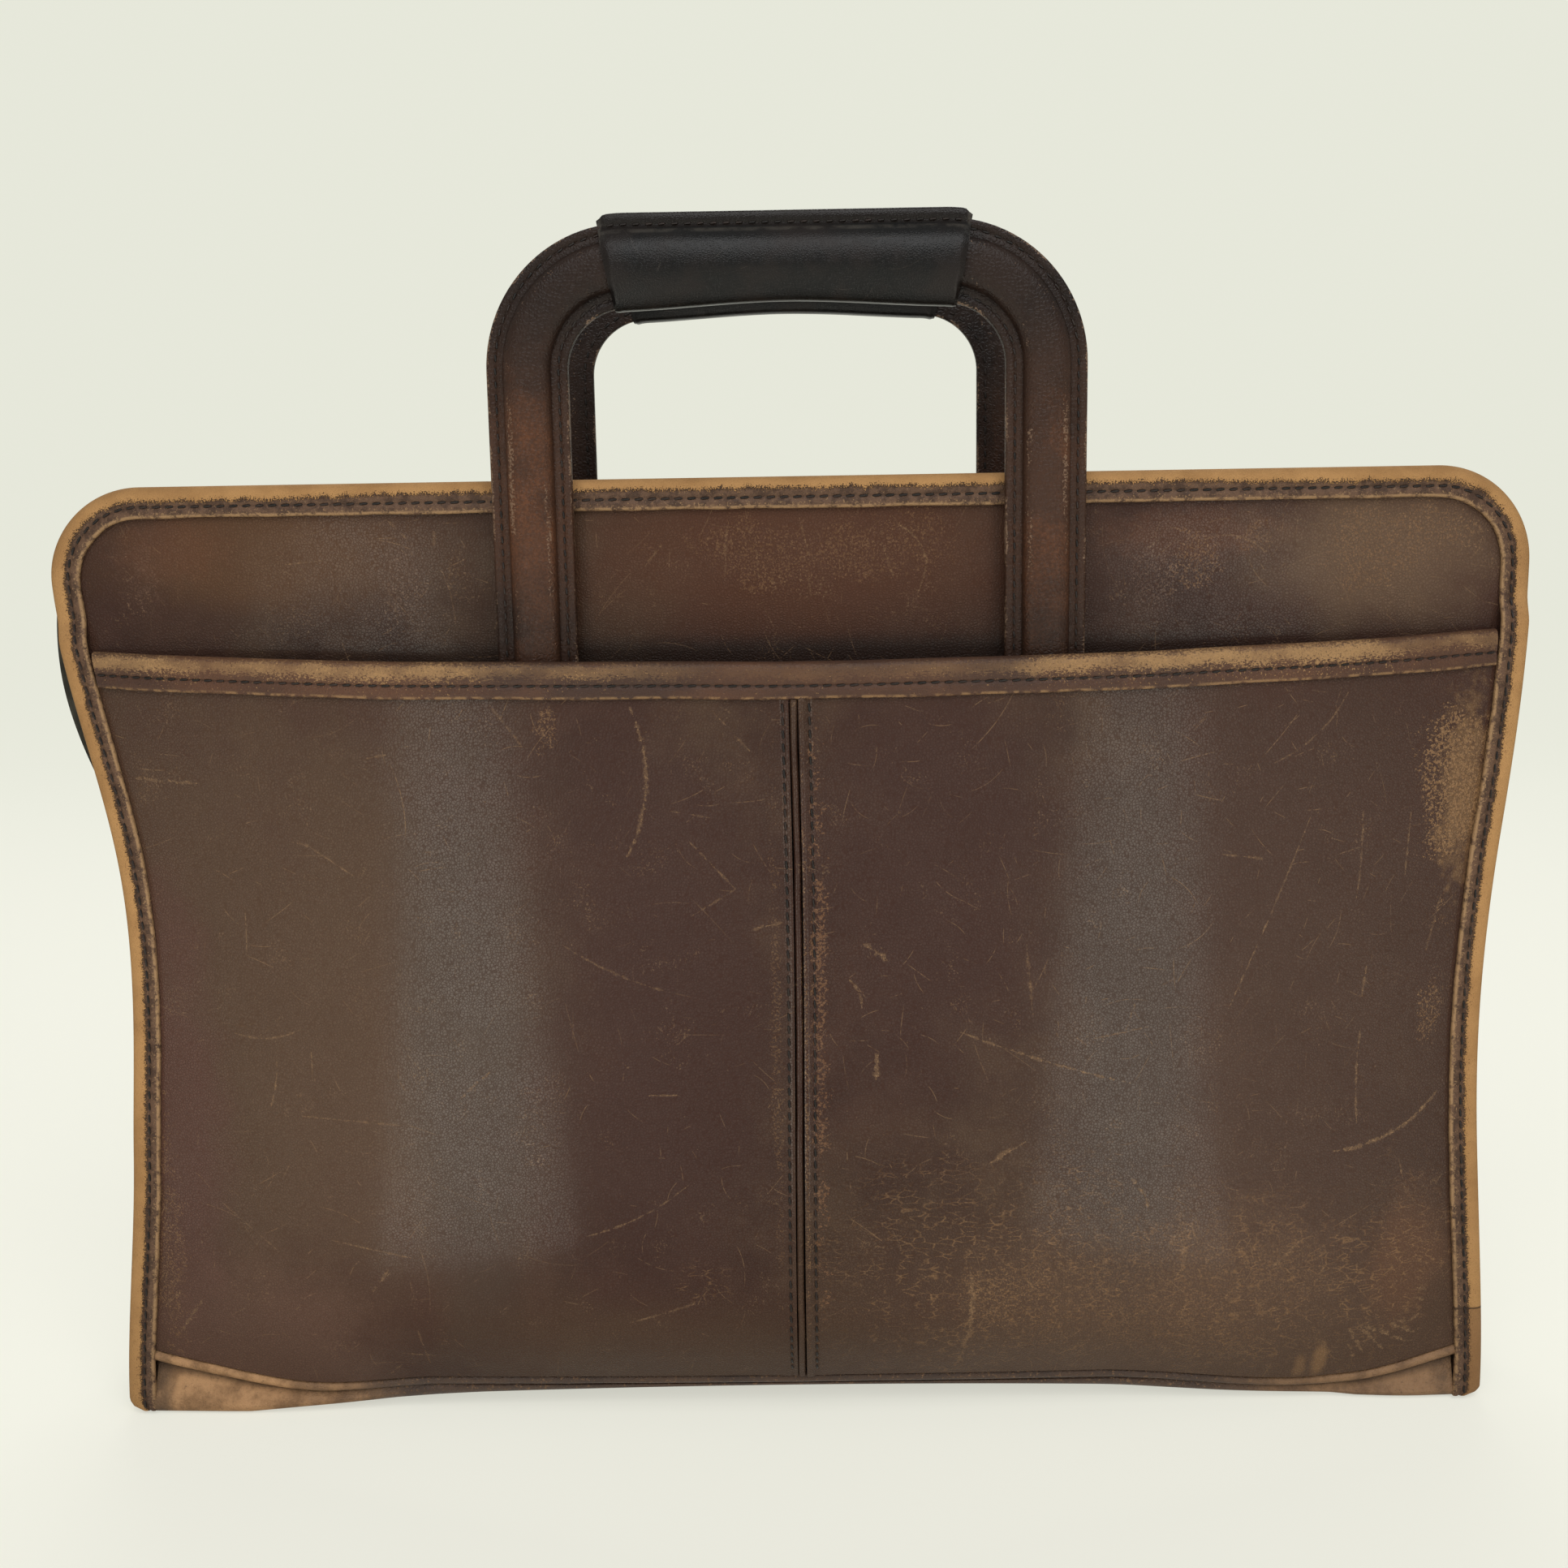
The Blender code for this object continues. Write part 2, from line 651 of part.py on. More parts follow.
def build_stop(body, side, hand, finish):
    """The cap on a leg's end that meets the keeper when the handle is fully up."""
    name = f"{NAMES[side]}_handle_stop_{'left' if hand < 0 else 'right'}"
    low = STOP_TOP - STOP_HEIGHT
    back = STRAP_BACK - GAP
    front = RIDGE_FRONT + GAP
    corners = [(-STOP_HALF, back - STOP_WALL), (STOP_HALF, back - STOP_WALL)]
    corners += [(STOP_HALF, front - 2 * MM), (STOP_HALF - 3 * MM, front + STOP_WALL)]
    corners += [(3 * MM - STOP_HALF, front + STOP_WALL), (-STOP_HALF, front - 2 * MM)]
    sections = [
        [(hand * LEG_X + across, side * depth, z) for across, depth in corners]
        for z in (low, STOP_TOP)
    ]
    cap = body.add(name, loft(sections), finish["lining"])
    socket = STRAP_WIDTH / 2 + GAP
    hollow = block(
        (hand * LEG_X - socket, min(side * back, side * front), LEG_END - GAP),
        (hand * LEG_X + socket, max(side * back, side * front), STOP_TOP + 5 * MM),
    )
    cut(cap, body.add(f"{name}_socket", hollow, finish["lining"]))


def build_zip_side(body, side, finish):
    """The tape and the row of teeth on one edge of the mouth."""
    path = outline(ZIP_INSET, ZIP_FOOT)
    half = TAPE_THICKNESS / 2
    sections = []
    for x, z, nx, nz in path:
        deep = inner_depth(x)
        loop = [(deep, -half), (deep, half), (TAPE_EDGE, half), (TAPE_EDGE, -half)]
        sections.append([(x + n * nx, side * depth, z + n * nz) for depth, n in loop])
    body.add(f"{NAMES[side]}_zip_tape", loft(sections), finish["tape"])
    half = TOOTH_HEIGHT / 2
    sections = []
    for i, (x, z, nx, nz) in enumerate(resample(path, TOOTH_PITCH / 2)):
        tip = TOOTH_TIP if i % 2 else TOOTH_ROOT
        root = TAPE_EDGE - GAP
        loop = [(root, -half), (root, half), (tip, half), (tip, -half)]
        sections.append([(x + n * nx, side * depth, z + n * nz) for depth, n in loop])
    body.add(f"{NAMES[side]}_zip_teeth", loft(sections), finish["brass"])


SLIDER_TOP = ZIP_HEIGHT + TOOTH_HEIGHT / 2 + SLIDER_CLEARANCE + SLIDER_WALL
EYE_HEIGHT = SLIDER_TOP + EYE_FIT + EYE_BAR / 2
EYE_REACH = EYE_BAR / 2 + EYE_FIT


def build_slider(body, finish):
    """The slider's two plates, the post between the rows of teeth and the bridge that holds the pull."""
    x = SLIDER_PLACE
    end = SLIDER_LENGTH / 2
    half = SLIDER_WIDTH / 2
    rise = TOOTH_HEIGHT / 2 + SLIDER_CLEARANCE
    plan = [(-end, -half * 0.62), (end * 0.2, -half), (end, -half * 0.8)]
    plan += [(end, half * 0.8), (end * 0.2, half), (-end, half * 0.62)]

    def plate(low, high):
        return loft([[(x + px, py, z) for px, py in plan] for z in (low, high)])

    slider = body.add("zip_slider", plate(ZIP_HEIGHT + rise, SLIDER_TOP), finish["brass"])
    lower = plate(ZIP_HEIGHT - rise - SLIDER_WALL, ZIP_HEIGHT - rise)
    post = block(
        (x - end * 0.5, -SLIDER_POST / 2, ZIP_HEIGHT - rise - SLIDER_WALL / 2),
        (x + end * 0.5, SLIDER_POST / 2, ZIP_HEIGHT + rise + SLIDER_WALL / 2),
    )
    high = EYE_HEIGHT + EYE_REACH
    leg = EYE_REACH + 1.6 * MM
    arc = [(-leg - 1.2 * MM, SLIDER_TOP - 0.4 * MM), (-leg - 0.6 * MM, high), (-leg, high + 1.2 * MM)]
    arc += [(leg, high + 1.2 * MM), (leg + 0.6 * MM, high), (leg + 1.2 * MM, SLIDER_TOP - 0.4 * MM)]
    arc += [(leg, SLIDER_TOP - 0.4 * MM), (leg - 0.6 * MM, high), (0.6 * MM - leg, high)]
    arc += [(-leg, SLIDER_TOP - 0.4 * MM)]
    bridge = loft([[(x + px, y, z) for px, z in arc] for y in (-1.2 * MM, 1.2 * MM)])
    helpers = [
        body.add("zip_slider_lower", lower, finish["brass"]),
        body.add("zip_slider_post", post, finish["brass"]),
        body.add("zip_slider_bridge", bridge, finish["brass"]),
    ]
    join(slider, helpers)


def build_pull(body, finish):
    """The flat pull, whose end bar turns under the slider's bridge."""
    window = EYE_BAR / 2 + EYE_REACH + 4.4 * MM
    xs = [EYE_BAR / 2, -EYE_BAR / 2, -window, EYE_BAR / 2 - PULL_LENGTH]
    ys = [-PULL_WIDTH / 2, -PULL_WIDTH / 2 + 1.8 * MM, PULL_WIDTH / 2 - 1.8 * MM, PULL_WIDTH / 2]
    mesh = bmesh.new()
    levels = []
    for z in (EYE_HEIGHT - EYE_BAR / 2, EYE_HEIGHT + EYE_BAR / 2):
        levels.append([[mesh.verts.new((SLIDER_PLACE + x, y, z)) for y in ys] for x in xs])
    for grid in levels:
        for r in range(3):
            for c in range(3):
                if (r, c) != (1, 1):
                    corners = (grid[r][c], grid[r][c + 1], grid[r + 1][c + 1], grid[r + 1][c])
                    mesh.faces.new(corners)
    low, high = levels
    rim = [(0, 0), (0, 1), (0, 2), (0, 3), (1, 3), (2, 3), (3, 3), (3, 2), (3, 1), (3, 0), (2, 0), (1, 0)]
    hole = [(1, 1), (1, 2), (2, 2), (2, 1)]
    for ring in (rim, hole):
        for (r, c), (s, d) in zip(ring, ring[1:] + ring[:1]):
            mesh.faces.new((low[r][c], low[s][d], high[s][d], high[r][c]))
    body.add("zip_pull", mesh, finish["brass"])


def build_gusset(case, hand, finish):
    """The V pleat that closes one side below the zip and unfolds as the front swings out."""
    outer, inner = [], []
    for i in range(10):
        z = lerp(BINDING_FOOT + BASE_LEATHER, GUSSET_TOP, i / 9)
        x = side_at(z) - BINDING_WIDTH * 0.6
        edge = inner_depth(x)
        wide = edge + max(0, z - SEAM_END) * math.sin(OPEN_ANGLE) / 2
        fold = math.sqrt(max(0, wide * wide - edge * edge))
        shift = GUSSET_LEATHER * wide / edge
        points = [(x, -edge), (x - fold / 2, -edge / 2), (x - fold, 0)]
        points += [(x - fold / 2, edge / 2), (x, edge)]
        outer.append([(hand * px, py, z) for px, py in points])
        inner.append([(hand * (px - shift), py, z) for px, py in points])
    case.add(f"{'left' if hand < 0 else 'right'}_gusset", slab(outer, inner), finish["gusset"])


def build_face(body, side, finish):
    """Everything that one panel carries except its handle."""
    build_panel(body, side, finish)
    build_edge_binding(body, side, finish)
    for hand in (-1, 1):
        build_pocket_half(body, side, hand, finish)
        build_keeper(body, side, hand, finish)
    build_pocket_rim(body, side, finish)
    build_centre_welt(body, side, finish)
    build_zip_side(body, side, finish)


def finishes():
    """The materials, by what they are used for."""
    return {
        "panel": material("panel_leather", (0.066, 0.036, 0.024), 0.42),
        "pocket": material("pocket_leather", (0.074, 0.041, 0.027), 0.40),
        "binding": material("binding_leather", (0.20, 0.105, 0.045), 0.48),
        "base": material("base_leather", (0.14, 0.075, 0.038), 0.55),
        "gusset": material("gusset_leather", (0.045, 0.028, 0.021), 0.55),
        "handle": material("handle_leather", (0.024, 0.017, 0.014), 0.35),
        "lining": material("keeper_leather", (0.06, 0.036, 0.025), 0.6),
        "core": material("handle_core", (0.30, 0.24, 0.16), 0.8),
        "board": material("base_board", (0.22, 0.17, 0.11), 0.85),
        "tape": material("zip_tape", (0.018, 0.017, 0.014), 0.9),
        "brass": material("zip_brass", (0.55, 0.39, 0.16), 0.35, 1.0),
    }


def main():
    """Clears the file and builds the case, body by body."""
    for old in list(bpy.data.objects):
        bpy.data.objects.remove(old)
    finish = finishes()
    case = Body("case", (0, 0, 0))
    front = Body("front_half", (0, -face(0), SEAM_MIDDLE), case)
    front_handle = Body("front_handle", (0, -STRAP_BACK, BEND_Z), front)
    back_handle = Body("back_handle", (0, STRAP_BACK, BEND_Z), case)
    slider = Body("slider", (SLIDER_PLACE, 0, ZIP_HEIGHT), case)
    pull = Body("pull", (SLIDER_PLACE, 0, EYE_HEIGHT), slider)
    build_base(case, finish)
    for side in (FRONT, BACK):
        build_bottom_welt(case, side, finish)
    for hand in (-1, 1):
        build_gusset(case, hand, finish)
    build_face(case, BACK, finish)
    build_face(front, FRONT, finish)
    build_handle(front_handle, FRONT, finish)
    build_handle(back_handle, BACK, finish)
    build_slider(slider, finish)
    build_pull(pull, finish)


main()
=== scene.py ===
"""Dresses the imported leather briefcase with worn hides, real stitching, a brass zip and padded grips.

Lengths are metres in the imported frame: X across the case, the front towards -Y, Z up, floor at z = 0.
Depths are distances from the middle plane y = 0, so the front and the back share every formula.
"""

from __future__ import annotations

import logging
import math
from dataclasses import dataclass, field
from enum import Enum
from functools import cached_property
from itertools import starmap
from typing import NamedTuple, Optional, Sequence, Union

import bmesh
import bpy
from mathutils import Matrix, Vector, noise

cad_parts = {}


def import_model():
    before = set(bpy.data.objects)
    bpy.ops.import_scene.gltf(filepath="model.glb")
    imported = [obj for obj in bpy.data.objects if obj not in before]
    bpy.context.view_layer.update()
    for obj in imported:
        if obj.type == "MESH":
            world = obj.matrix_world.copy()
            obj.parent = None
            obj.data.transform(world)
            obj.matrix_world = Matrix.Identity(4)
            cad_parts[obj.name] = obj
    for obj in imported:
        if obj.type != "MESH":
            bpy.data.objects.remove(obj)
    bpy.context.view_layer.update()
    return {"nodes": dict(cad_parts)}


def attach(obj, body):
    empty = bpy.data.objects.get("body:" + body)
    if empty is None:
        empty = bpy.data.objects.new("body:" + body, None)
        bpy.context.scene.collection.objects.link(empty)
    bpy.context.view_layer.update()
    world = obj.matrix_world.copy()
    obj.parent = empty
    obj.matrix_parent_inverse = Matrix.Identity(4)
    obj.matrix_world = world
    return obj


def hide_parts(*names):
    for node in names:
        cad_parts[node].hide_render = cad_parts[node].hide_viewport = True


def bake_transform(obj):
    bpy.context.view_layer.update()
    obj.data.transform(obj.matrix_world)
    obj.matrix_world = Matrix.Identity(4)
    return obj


MM = 0.001
FRAME_PIXELS = 1932
SENSOR = 36.0

Colour = tuple[float, float, float]
Point = tuple[float, float, float]
Pair = tuple[float, float]
Rows = Sequence[Sequence[Point]]
Paint = Optional[Sequence[float]]
Line = Sequence[tuple[Vector, Vector]]
Key = Union[int, str]
Value = Union["Flow", float, Sequence[float]]
Material = bpy.types.Material
Piece = bpy.types.Object
Tree = bpy.types.NodeTree

log = logging.getLogger("briefcase")


class Face(Enum):
    """The two large faces of the case, with the direction that each looks along Y."""

    FRONT = -1
    BACK = 1

    @property
    def label(self) -> str:
        """The word that node names start with."""
        return self.name.lower()

    @property
    def body(self) -> str:
        """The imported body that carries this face."""
        return "front_half" if self is Face.FRONT else "case"

    @property
    def out(self) -> Vector:
        """The way out of this face."""
        return Vector((0, self.value, 0))


class Hand(Enum):
    """The two ends of the case, with their direction along X."""

    LEFT = -1
    RIGHT = 1

    @property
    def label(self) -> str:
        """The word that node names end with."""
        return self.name.lower()


class EdgePoint(NamedTuple):
    """A place on a flat path: where it is, which way is out, and how far along it lies."""

    x: float
    z: float
    nx: float
    nz: float
    along: float = 0.0


def lerp(a: float, b: float, t: float) -> float:
    """The value a share t of the way from a to b."""
    return a + (b - a) * t


def smooth(t: float) -> float:
    """An eased step from 0 to 1."""
    t = min(1.0, max(0.0, t))
    return t * t * (3 - 2 * t)


def bell(t: float) -> float:
    """A soft hump of height 1 at t = 0 that is gone at t = -1 and t = 1."""
    return smooth(1 - abs(t))


def spread(count: int) -> list[float]:
    """Shares from -1 to 1 that lie a little closer together near the ends."""
    return [lerp(u, math.sin(math.pi / 2 * u), 0.5) for u in steps(-1, 1, count)]


def steps(low: float, high: float, count: int) -> list[float]:
    """Evenly spaced values from low to high, both included."""
    return [lerp(low, high, i / count) for i in range(count + 1)]


def drift(x: float, z: float, scale: float, seed: float) -> float:
    """Smooth noise from -1 to 1.

    Args:
        x: Place across, in metres.
        z: Place up, in metres.
        scale: Swings per metre.
        seed: Which of many patterns to read.

    Returns:
        The noise at that place.
    """
    return noise.noise(Vector((x * scale, z * scale, seed * 7.3)))


def curve_through(points: Sequence[Pair], count: int) -> list[Pair]:
    """Rounds a line of plane points into a smooth curve.

    Args:
        points: The points that the curve passes.
        count: Steps between each pair of points.

    Returns:
        The points along the curve, ends included.
    """
    made = []
    last = len(points) - 1
    for i in range(last):
        a, b = points[max(0, i - 1)], points[i]
        c, d = points[i + 1], points[min(last, i + 2)]
        for k in range(count):
            t = k / count
            made.append(
                tuple(
                    0.5 * (2 * b[j] + (c[j] - a[j]) * t)
                    + 0.5 * (2 * a[j] - 5 * b[j] + 4 * c[j] - d[j]) * t * t
                    + 0.5 * (3 * b[j] - a[j] - 3 * c[j] + d[j]) * t * t * t
                    for j in (0, 1)
                )
            )
    made.append(tuple(points[-1]))
    return made


def turns(start: float, end: float, count: int) -> list[Pair]:
    """Cosine and sine of evenly spaced angles from start to end, both included."""
    return [(math.cos(angle), math.sin(angle)) for angle in steps(start, end, count)]


def circle(count: int) -> list[Pair]:
    """Cosine and sine of so many places once round."""
    angles = [math.tau * k / count for k in range(count)]
    return [(math.cos(angle), math.sin(angle)) for angle in angles]


def bend(x: float, z: float, radius: float, start: float, count: int) -> list[EdgePoint]:
    """Turns a path from a side to its top.

    Args:
        x: Centre of the bend across.
        z: Centre of the bend up.
        radius: Its radius.
        start: The angle at which it starts.
        count: Its number of steps.

    Returns:
        The points of the bend.
    """
    return [EdgePoint(x + radius * u, z + radius * v, u, v) for u, v in turns(start, math.pi / 2, count)]


def over(
    left: list[EdgePoint], level: float, flat: float, count: int, inset: float = 0.0
) -> list[EdgePoint]:
    """Carries a path that climbs on the left over its flat top and down the right.

    Args:
        left: Its points on the left, upwards.
        level: Height of the top.
        flat: Half the length of the top.
        count: Number of steps along the top.
        inset: How far inside these points the path runs.

    Returns:
        The points of the path, in order.
    """
    top = [EdgePoint(x, level, 0.0, 1.0) for x in steps(-flat, flat, count)]
    right = [EdgePoint(-spot.x, spot.z, -spot.nx, spot.nz) for spot in reversed(left)]
    made: list[EdgePoint] = []
    for x, z, nx, nz, _ in left + top[1:-1] + right:
        x, z = x - inset * nx, z - inset * nz
        gone = made[-1].along + math.hypot(x - made[-1].x, z - made[-1].z) if made else 0.0
        made.append(EdgePoint(x, z, nx, nz, gone))
    return made


@dataclass(frozen=True)
class CaseForm:
    """Sizes of the case and the curves that all its pieces follow."""

    width: float = 431 * MM
    base_width: float = 423 * MM
    height: float = 288 * MM
    waist: float = 9.5 * MM
    waist_height: float = 115 * MM
    corner: float = 28 * MM
    side_depth: float = 34 * MM
    crown: float = 5 * MM
    gap: float = 0.3 * MM
    panel_leather: float = 2.2 * MM
    pocket_leather: float = 2.0 * MM
    binding_leather: float = 1.4 * MM
    binding_width: float = 9 * MM
    binding_foot: float = 1.2 * MM
    step_run: float = 9 * MM
    seam_middle: float = 11 * MM
    seam_end: float = 19 * MM
    base_arch: float = 7.5 * MM
    foot_length: float = 30 * MM
    welt: float = 1.5 * MM
    pocket_middle: float = 236.5 * MM
    pocket_rise: float = 4.5 * MM
    pocket_bulge: float = 14.4 * MM
    pocket_ramp: float = 30 * MM
    lean: float = 0.9 * MM
    slump: float = 7.2 * MM
    sag: float = 1.8 * MM
    spread: float = 3.8 * MM

    @property
    def half(self) -> float:
        """Half the width over the mouth."""
        return self.width / 2

    @property
    def shoulder(self) -> float:
        """Height at which the top corners start to turn."""
        return self.height - self.corner

    @property
    def panel_inset(self) -> float:
        """From the outline to the panel's own edge inside the binding."""
        return self.binding_leather + 2 * self.gap

    @property
    def seam_clear(self) -> float:
        """From the bottom seam to the leather sewn along it."""
        return self.welt + 2 * self.gap

    @property
    def pocket_lift(self) -> float:
        """Least space behind the pocket."""
        return 3 * self.gap

    def side_at(self, z: float) -> float:
        """Half width of the outline below the shoulder."""
        share = min(1.0, max(0.0, z / self.shoulder))
        power = math.log(0.5) / math.log(self.waist_height / self.shoulder)
        straight = lerp(self.base_width / 2, self.half, smooth(share))
        return straight - self.waist * math.sin(math.pi * share**power) ** 2

    def half_at(self, z: float, inset: float) -> float:
        """Half width at a height, this far inside the outline."""
        if z <= self.shoulder:
            return self.side_at(z) - inset
        radius = self.corner - inset
        rise = min(radius, z - self.shoulder)
        return self.half - self.corner + math.sqrt(radius * radius - rise * rise)

    def base_half(self, z: float) -> float:
        """Half width of the base, which ends just inside the edge binding."""
        return self.side_at(z) - self.binding_width + self.gap

    @cached_property
    def base_reach(self) -> float:
        """Half width of the base along its seam."""
        return self.base_half(self.seam_end + self.welt)

    def face(self, x: float) -> float:
        """Depth of a panel's outer face."""
        return self.side_depth / 2 + self.crown * (1 - min(1.0, abs(x) / self.half) ** 2)

    def inner_depth(self, x: float) -> float:
        """Depth just inside the binding's back flange."""
        return self.face(x) - self.panel_leather - 2 * self.gap - self.binding_leather

    def seam(self, x: float) -> float:
        """Height of the bottom seam."""
        return lerp(self.seam_middle, self.seam_end, min(1.0, abs(x) / self.base_reach) ** 8)

    def arch(self, x: float) -> float:
        """Height of the base's underside."""
        share = min(1.0, abs(x) / (self.base_reach - self.foot_length))
        return self.base_arch * (1 - share * share)

    def pocket_top(self, x: float) -> float:
        """Height of a pocket's mouth."""
        return self.pocket_middle + self.pocket_rise * (x / self.half) ** 2

    def pocket_side(self, z: float) -> float:
        """Half width at which a pocket leaves the edge binding."""
        return self.half_at(z, self.binding_width)

    def pocket_gap(self, x: float, z: float) -> float:
        """Space between a panel and the pocket over it."""
        across = 1 - min(1.0, abs(x) / self.pocket_side(z)) ** 3
        rise = min(1.0, max(0.0, z - self.seam(x)) / self.pocket_ramp)
        return self.pocket_lift + self.pocket_bulge * across * math.sin(math.pi / 2 * rise)

    def dip(self, x: float) -> float:
        """How far the bottom seam of the worn case hangs near the corners, more at the right."""
        if x < 0:
            return 2.9 * MM * bell((x + 152 * MM) / (40 * MM))
        eased = 1 - 0.4 * smooth((x - 172 * MM) / (30 * MM))
        return 5.4 * MM * smooth((x - 90 * MM) / (70 * MM)) * eased

    def settle(self, point: Point) -> Point:
        """Leans the worn case: its left side draws in at the waist, its right foot spreads."""
        x, y, z = point
        share = min(1.0, abs(x) / self.half) ** 2
        if x < 0:
            x += share * (self.slump * bell((z - 178 * MM) / (92 * MM)) - self.sag)
        else:
            x += share * self.spread * bell((z - 72 * MM) / (110 * MM))
        low = smooth(z / self.seam_middle) * (1 - smooth((z - 20 * MM) / (60 * MM)))
        return (x + self.lean * bell((z - 160 * MM) / (120 * MM)), y, z - low * self.dip(x))

    def edge(self, inset: float, foot: float, pitch: float) -> list[EdgePoint]:
        """Follows the outline up the left side, over the top and down the right.

        Args:
            inset: How far inside the outline the path runs.
            foot: Height of its two ends.
            pitch: About how far apart its points are.

        Returns:
            The points of the path, in order.
        """
        left = []
        for z in steps(foot, self.shoulder, max(4, round((self.shoulder - foot) / pitch))):
            slope = (self.side_at(z + MM) - self.side_at(z - MM)) / (2 * MM)
            length = math.hypot(1, slope)
            left.append(EdgePoint(-self.side_at(z), z, -1 / length, -slope / length))
        turn = max(6, round(self.corner * math.pi / 2 / pitch))
        left += bend(self.corner - self.half, self.shoulder, self.corner, math.pi, turn)[1:]
        flat = self.half - self.corner
        return over(left, self.height, flat, round(2 * flat / pitch), inset)


def even(path: Sequence[EdgePoint], pitch: float) -> list[EdgePoint]:
    """Takes equal steps along a path.

    Args:
        path: The path as it is.
        pitch: About how long each step is.

    Returns:
        Points that lie equal lengths apart on it.
    """
    total = path[-1].along
    made = []
    part = 0
    for place in steps(0, total, max(1, round(total / pitch))):
        while part < len(path) - 2 and path[part + 1].along < place:
            part += 1
        a, b = path[part], path[part + 1]
        share = (place - a.along) / max(1e-9, b.along - a.along)
        made.append(EdgePoint(*(lerp(u, v, share) for u, v in zip(a, b))))
    return made


class Shape:
    """Points, faces and painted values of one mesh in the making."""

    def __init__(self) -> None:
        """Starts with nothing."""
        self.points: list[Point] = []
        self.faces: list[tuple[int, ...]] = []
        self.across: list[float] = []
        self.along: list[float] = []
        self.flesh: set[int] = set()

    def net(
        self, rows: Rows, ring: bool = False, across: Paint = None, along: Paint = None, flesh: bool = False
    ) -> list[list[int]]:
        """Adds rows of points and the faces between them.

        Args:
            rows: Rows with the same number of points.
            ring: Whether each row closes on itself.
            across: Painted value of each column, in millimetres.
            along: Painted value of each row, in millimetres.
            flesh: Whether these faces take the second finish.

        Returns:
            The index of each point.
        """
        made = []
        for r, row in enumerate(rows):
            start = len(self.points)
            self.points.extend(row)
            self.across.extend(across if across else [0.0] * len(row))
            self.along.extend([along[r] if along else 0.0] * len(row))
            made.append(list(range(start, start + len(row))))
        first = len(self.faces)
        for low, high in zip(made, made[1:]):
            self.bridge(low, high, ring)
        if flesh:
            self.flesh.update(range(first, len(self.faces)))
        return made

    def bridge(self, first: Sequence[int], second: Sequence[int], ring: bool = False) -> None:
        """Joins two equal lines of points with faces."""
        last = len(first) if ring else len(first) - 1
        for i in range(last):
            j = (i + 1) % len(first)
            self.faces.append((first[i], first[j], second[j], second[i]))

    def sheet(self, outer: Rows, inner: Rows, across: Paint = None, along: Paint = None) -> Shape:
        """Adds a closed sheet of leather between its grain side and its flesh side.

        Args:
            outer: Rows of points on the grain side.
            inner: Rows of points on the flesh side.
            across: Painted value of each column.
            along: Painted value of each row.

        Returns:
            This shape.
        """
        front = self.net(outer, False, across, along)
        back = self.net(inner, False, across, along, True)
        self.bridge([row[0] for row in front], [row[0] for row in back])
        self.bridge([row[-1] for row in front], [row[-1] for row in back])
        self.bridge(front[0], back[0])
        self.bridge(front[-1], back[-1])
        return self

    def skin(self, rows: Sequence[Sequence[tuple[Point, Point]]], along: Paint = None) -> Shape:
        """Adds a closed sheet from rows of pairs of points, the grain side first."""
        outer, inner = ([[pair[side] for pair in row] for row in rows] for side in (0, 1))
        return self.sheet(outer, inner, None, along)

    def rod(self, sections: Rows, across: Paint = None, along: Paint = None) -> Shape:
        """Adds a closed solid through loops of points.

        Args:
            sections: The loops, in order.
            across: Painted value of each place round the loop.
            along: Painted value of each loop.

        Returns:
            This shape.
        """
        made = self.net(sections, True, across, along)
        self.faces.append(tuple(made[0]))
        self.faces.append(tuple(reversed(made[-1])))
        return self

    def sleeve(self, outer: Rows, inner: Rows, across: Paint = None) -> Shape:
        """Adds a tube with a wall, open at both ends.

        Args:
            outer: Loops of its outside.
            inner: Loops of its inside, with as many points.
            across: Painted value of each place round the loop.

        Returns:
            This shape.
        """
        outside = self.net(outer, True, across)
        inside = self.net(inner, True, across, None, True)
        self.bridge(outside[0], inside[0], True)
        self.bridge(outside[-1], inside[-1], True)
        return self

    def made(
        self, name: str, finish: Material, flesh: Optional[Material] = None, sharp: float = 40.0
    ) -> Piece:
        """Turns the shape into an object.

        Args:
            name: Name of the piece.
            finish: Material of its outside.
            flesh: Material of faces marked as the flesh side.
            sharp: Angle in degrees above which an edge stays crisp.

        Returns:
            The new object, linked to the scene.
        """
        data = bpy.data.meshes.new(name)
        data.from_pydata(self.points, [], self.faces)
        for title, values in (("across", self.across), ("along", self.along)):
            layer = data.attributes.new(title, "FLOAT", "POINT")
            layer.data.foreach_set("value", values)
        data.materials.append(finish)
        if flesh:
            data.materials.append(flesh)
            for index in self.flesh:
                data.polygons[index].material_index = 1
        mesh = bmesh.new()
        mesh.from_mesh(data)
        bmesh.ops.recalc_face_normals(mesh, faces=mesh.faces)
        mesh.to_mesh(data)
        mesh.free()
        data.shade_smooth()
        data.set_sharp_from_angle(angle=math.radians(sharp))
        return linked(name, data)


def linked(name: str, data: bpy.types.ID) -> Piece:
    """A new object in the scene, with this mesh, light or camera."""
    piece = bpy.data.objects.new(name, data)
    bpy.context.collection.objects.link(piece)
    return piece


